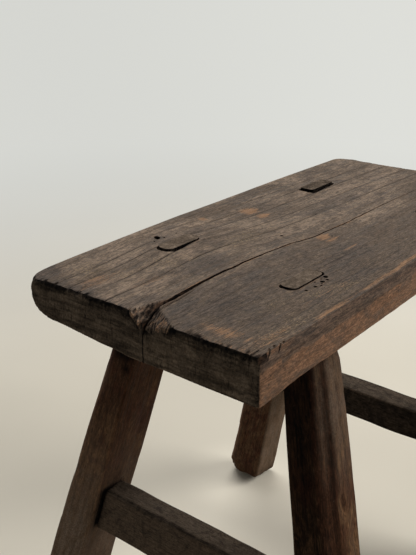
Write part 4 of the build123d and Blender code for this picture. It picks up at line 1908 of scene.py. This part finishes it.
def old_wood(name, tones, gloss, contrast):
    """Old solid wood that follows a piece's own grain, rings, wear, grime and painted light and
    shade.

    The gloss is the lowest and highest roughness and the specular level; the contrast is that of
    the fibres, of the speckles and of the end grain.
    """
    material, tree = new_material(name)
    grain = add_node(
        tree, "ShaderNodeAttribute", attribute_type="GEOMETRY", attribute_name="grain"
    ).outputs["Vector"]
    wear = SimpleNamespace(**{field: attribute(tree, field) for field in WEAR_FIELDS})
    patterns = SimpleNamespace(
        **{field: grain_noise(tree, grain, *form) for field, form in WOOD_PATTERNS.items()}
    )
    patterns.offset = patterns.strands - 0.5
    pores = patterns.pores.step(0.38, 0.27, 0.0, 0.8)
    checks = patterns.checks.step(0.40, 0.27, 0.0, 0.85 * contrast[2])
    thin_line, dark_line = ring_lines(wear, patterns)
    soot_and_shade = soot_and_shade_cover(wear.grime, patterns)

    colour = weathered_colour(tones, contrast, wear, patterns)
    colour = dark_line.mix(colour, opaque(tones.dark))
    colour = flecked_colour(tones, colour, wear.flecked, patterns)
    colour = pores.mix(colour, opaque(tones.dark))
    colour = rubbed_colour(tones, colour, wear, patterns)
    cut = end_grain_colour(tones, contrast[2], patterns, checks)
    # Soot, grime and painted shade turn the wood black
    colour = soot_and_shade.mix(wear.end_grain.mix(colour, cut), opaque(SOOT_AND_SHADE))

    smoothest, roughest, sheen = gloss
    rough = patterns.streaks.step(0.3, 0.7, smoothest, roughest)
    rough = rough + wear.end_grain * 0.2 + wear.grime * 0.2
    relief = wood_relief(tree, wear.end_grain, patterns, thin_line, pores, checks)
    inputs = {
        "Base Color": colour,
        "Roughness": rough.smaller(1.0),
        "Specular IOR Level": soot_and_shade.larger(wear.end_grain).step(0.0, 1.0, sheen, sheen * 0.2),
        "Normal": relief,
    }
    show_shader(tree, "ShaderNodeOutputMaterial", "ShaderNodeBsdfPrincipled", inputs)
    return material


def finish_piece(piece, material, node):
    """Smooths a piece, gives it its wood and sets it in the place of its construction node."""
    make_active(piece)
    bpy.ops.object.shade_smooth_by_angle(angle=radians(38))
    piece.data.materials.clear()
    piece.data.materials.append(material)
    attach(piece, "root")
    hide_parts(node)


def wall_colour(tree, direction, gain):
    """Colour of the far floor and the wall behind, with painted light paler towards the right of
    the view.
    """
    far_floor = bpy.context.scene.stool_stage.far_floor
    to_right = vector_value(tree, "DOT_PRODUCT", direction, VIEW_RIGHT).step(-0.25, 0.30)
    # Painted light: paler towards the right
    return to_right.mix(opaque(far_floor, gain), opaque(far_floor, 1.09))


def seen_rays(tree):
    """1 for the rays that show the background: the camera's own, mirrored and let through."""
    path = add_node(tree, "ShaderNodeLightPath").outputs
    seen = Value(tree, path["Is Camera Ray"])
    return seen.larger(path["Is Glossy Ray"]).larger(path["Is Transmission Ray"])


def floor_colour(tree, place):
    """Colour of the floor by the stool: faint clouds, with painted light paler towards the camera
    and in patches.
    """
    near_floor = bpy.context.scene.stool_stage.near_floor
    inputs = {"Vector": place, "Scale": 2.2, "Detail": 2.0}
    clouds = Value(tree, add_node(tree, "ShaderNodeTexNoise", inputs).outputs["Fac"])
    clouds = clouds.step(0.35, 0.65, 0.0, 0.35)
    colour = clouds.mix(opaque(near_floor), opaque(near_floor, 0.86))
    towards_camera = vector_value(tree, "DOT_PRODUCT", place, VIEW_BACK)
    # Painted light: paler towards the camera
    colour = towards_camera.shade(colour, -0.30, 0.06, 0.97, 1.16)
    # Painted light in pale patches
    for middle, edge, core, gain in FLOOR_PATCHES:
        distance = vector_value(tree, "DISTANCE", place, middle)
        colour = distance.shade(colour, edge, core, 1.0, gain)
    return colour


def make_floor():
    """A wide floor that is pale far off and a warmer grey under the stool."""
    stage = bpy.context.scene.stool_stage
    deselect_all()
    bpy.ops.mesh.primitive_circle_add(vertices=96, radius=stage.floor_reach, fill_type="NGON")
    floor = bpy.context.object
    floor.name = "floor"
    bpy.ops.object.mode_set(mode="EDIT")
    bpy.ops.mesh.select_all(action="SELECT")
    bpy.ops.mesh.inset(thickness=stage.floor_reach * 0.6)
    deselect_all()
    material, tree = new_material("pale_floor")
    place = add_node(tree, "ShaderNodeTexCoord").outputs["Object"]
    far = vector_value(tree, "LENGTH", place).step(0.5, 2.6)
    bearing = add_node(tree, "ShaderNodeVectorMath", {0: place}, operation="NORMALIZE")
    far_colour = wall_colour(tree, bearing.outputs["Vector"], 1.0)
    colour = far.mix(floor_colour(tree, place), far_colour)
    matt = add_node(tree, "ShaderNodeBsdfDiffuse", {"Color": colour}).outputs[0]
    # The far floor glows with the backdrop colour for the rays that see it
    glow = add_node(tree, "ShaderNodeEmission", {"Color": far_colour}).outputs[0]
    inputs = {0: far * seen_rays(tree), 1: matt, 2: glow}
    show_shader(tree, "ShaderNodeOutputMaterial", "ShaderNodeMixShader", inputs)
    floor.data.materials.append(material)


def make_world():
    """Soft light from all round, seen as the pale wall behind."""
    world = bpy.data.worlds.new("studio")
    bpy.context.scene.world = world
    world.use_nodes = True
    tree = world.node_tree
    tree.nodes.clear()
    direction = add_node(tree, "ShaderNodeTexCoord").outputs["Generated"]
    lights = []
    for colour, strength in (FILL_LIGHT, (wall_colour(tree, direction, 0.995), 1.0)):
        light = {"Color": colour, "Strength": strength}
        lights.append(add_node(tree, "ShaderNodeBackground", light).outputs[0])
    inputs = {0: seen_rays(tree), 1: lights[0], 2: lights[1]}
    show_shader(tree, "ShaderNodeOutputWorld", "ShaderNodeMixShader", inputs)


def add_lamp(name, place, size, power, colour):
    """A square soft lamp that looks at the stool."""
    lamp = bpy.data.lights.new(name, "AREA")
    lamp.shape = "SQUARE"
    lamp.size = size
    lamp.energy = power
    lamp.color = colour
    holder = bpy.data.objects.new(name, lamp)
    bpy.context.scene.collection.objects.link(holder)
    holder.location = place
    towards = Vector(LAMP_TARGET) - Vector(place)
    holder.rotation_euler = towards.to_track_quat("-Z", "Y").to_euler()


def make_camera():
    stage = bpy.context.scene.stool_stage
    camera = bpy.data.cameras.new("camera")
    camera.lens = stage.lens
    camera.sensor_width = 36
    camera.clip_start = 0.02
    holder = bpy.data.objects.new("camera", camera)
    bpy.context.scene.collection.objects.link(holder)
    turn = Euler((pi / 2 - stage.elevation, 0, stage.azimuth)).to_matrix()
    turn = turn @ Euler((0, 0, stage.roll)).to_matrix()
    holder.matrix_world = turn.to_4x4()
    holder.location = stage.camera_place
    bpy.context.scene.camera = holder


class STOOL_OT_stage(bpy.types.Operator):
    """Set up the camera, the floor, the lamps and the world"""

    bl_idname = "stool.stage"
    bl_label = "Stage"

    def execute(self, context):
        make_camera()
        make_floor()
        make_world()
        for name, place, size, power, colour in LAMPS:
            add_lamp(name, place, size, power, colour)
        context.scene.view_settings.view_transform = "Standard"
        return {"FINISHED"}


class STOOL_OT_seat(bpy.types.Operator):
    """Make the cracked plank seat"""

    bl_idname = "stool.seat"
    bl_label = "Seat"

    def execute(self, context):
        tones = context.scene.stool_seat
        material = old_wood("weathered_seat_wood", tones, (0.54, 0.74, 0.10), (0.5, 1.0, 1.0))
        finish_piece(make_seat(), material, "seat")
        return {"FINISHED"}


class STOOL_OT_legs(bpy.types.Operator):
    """Make the four splayed legs with their tenons"""

    bl_idname = "stool.legs"
    bl_label = "Legs"

    def execute(self, context):
        tones = context.scene.stool_leg
        material = old_wood("handled_leg_wood", tones, (0.62, 0.78, 0.05), (0.7, 0.5, 0.35))
        for name in LEG_SIDES:
            finish_piece(make_leg(name), material, name)
        return {"FINISHED"}


class STOOL_OT_stretchers(bpy.types.Operator):
    """Make the two stretchers"""

    bl_idname = "stool.stretchers"
    bl_label = "Stretchers"

    def execute(self, context):
        tones = context.scene.stool_stretcher
        material = old_wood("dusty_stretcher_wood", tones, (0.58, 0.76, 0.05), (0.35, 0.6, 0.7))
        for name in STRETCHER_SIDES:
            finish_piece(make_stretcher(name), material, name)
        return {"FINISHED"}


class STOOL_PT_panel(bpy.types.Panel):
    """Lists the stool's sizes and its operators"""

    bl_idname = "STOOL_PT_panel"
    bl_label = "Plank Stool"
    bl_space_type = "VIEW_3D"
    bl_region_type = "UI"
    bl_category = "Stool"

    def draw(self, context):
        layout = self.layout
        scene = context.scene
        for operator, settings in (
            ("stool.stage", scene.stool_stage),
            ("stool.seat", scene.stool_seat),
            ("stool.legs", scene.stool_leg),
            ("stool.stretchers", scene.stool_stretcher),
        ):
            box = layout.box()
            box.operator(operator)
            for name in settings.__annotations__:
                box.prop(settings, name)


CLASSES = (
    SeatSettings,
    LegSettings,
    StretcherSettings,
    StageSettings,
    STOOL_OT_stage,
    STOOL_OT_seat,
    STOOL_OT_legs,
    STOOL_OT_stretchers,
    STOOL_PT_panel,
)


def register():
    for cls in CLASSES:
        bpy.utils.register_class(cls)
    bpy.types.Scene.stool_seat = PointerProperty(type=SeatSettings)
    bpy.types.Scene.stool_leg = PointerProperty(type=LegSettings)
    bpy.types.Scene.stool_stretcher = PointerProperty(type=StretcherSettings)
    bpy.types.Scene.stool_stage = PointerProperty(type=StageSettings)


def unregister():
    del bpy.types.Scene.stool_stage
    del bpy.types.Scene.stool_stretcher
    del bpy.types.Scene.stool_leg
    del bpy.types.Scene.stool_seat
    for cls in reversed(CLASSES):
        bpy.utils.unregister_class(cls)


def main():
    register()
    bpy.ops.stool.stage()
    bpy.ops.stool.seat()
    bpy.ops.stool.legs()
    bpy.ops.stool.stretchers()


if __name__ == "__main__":
    main()
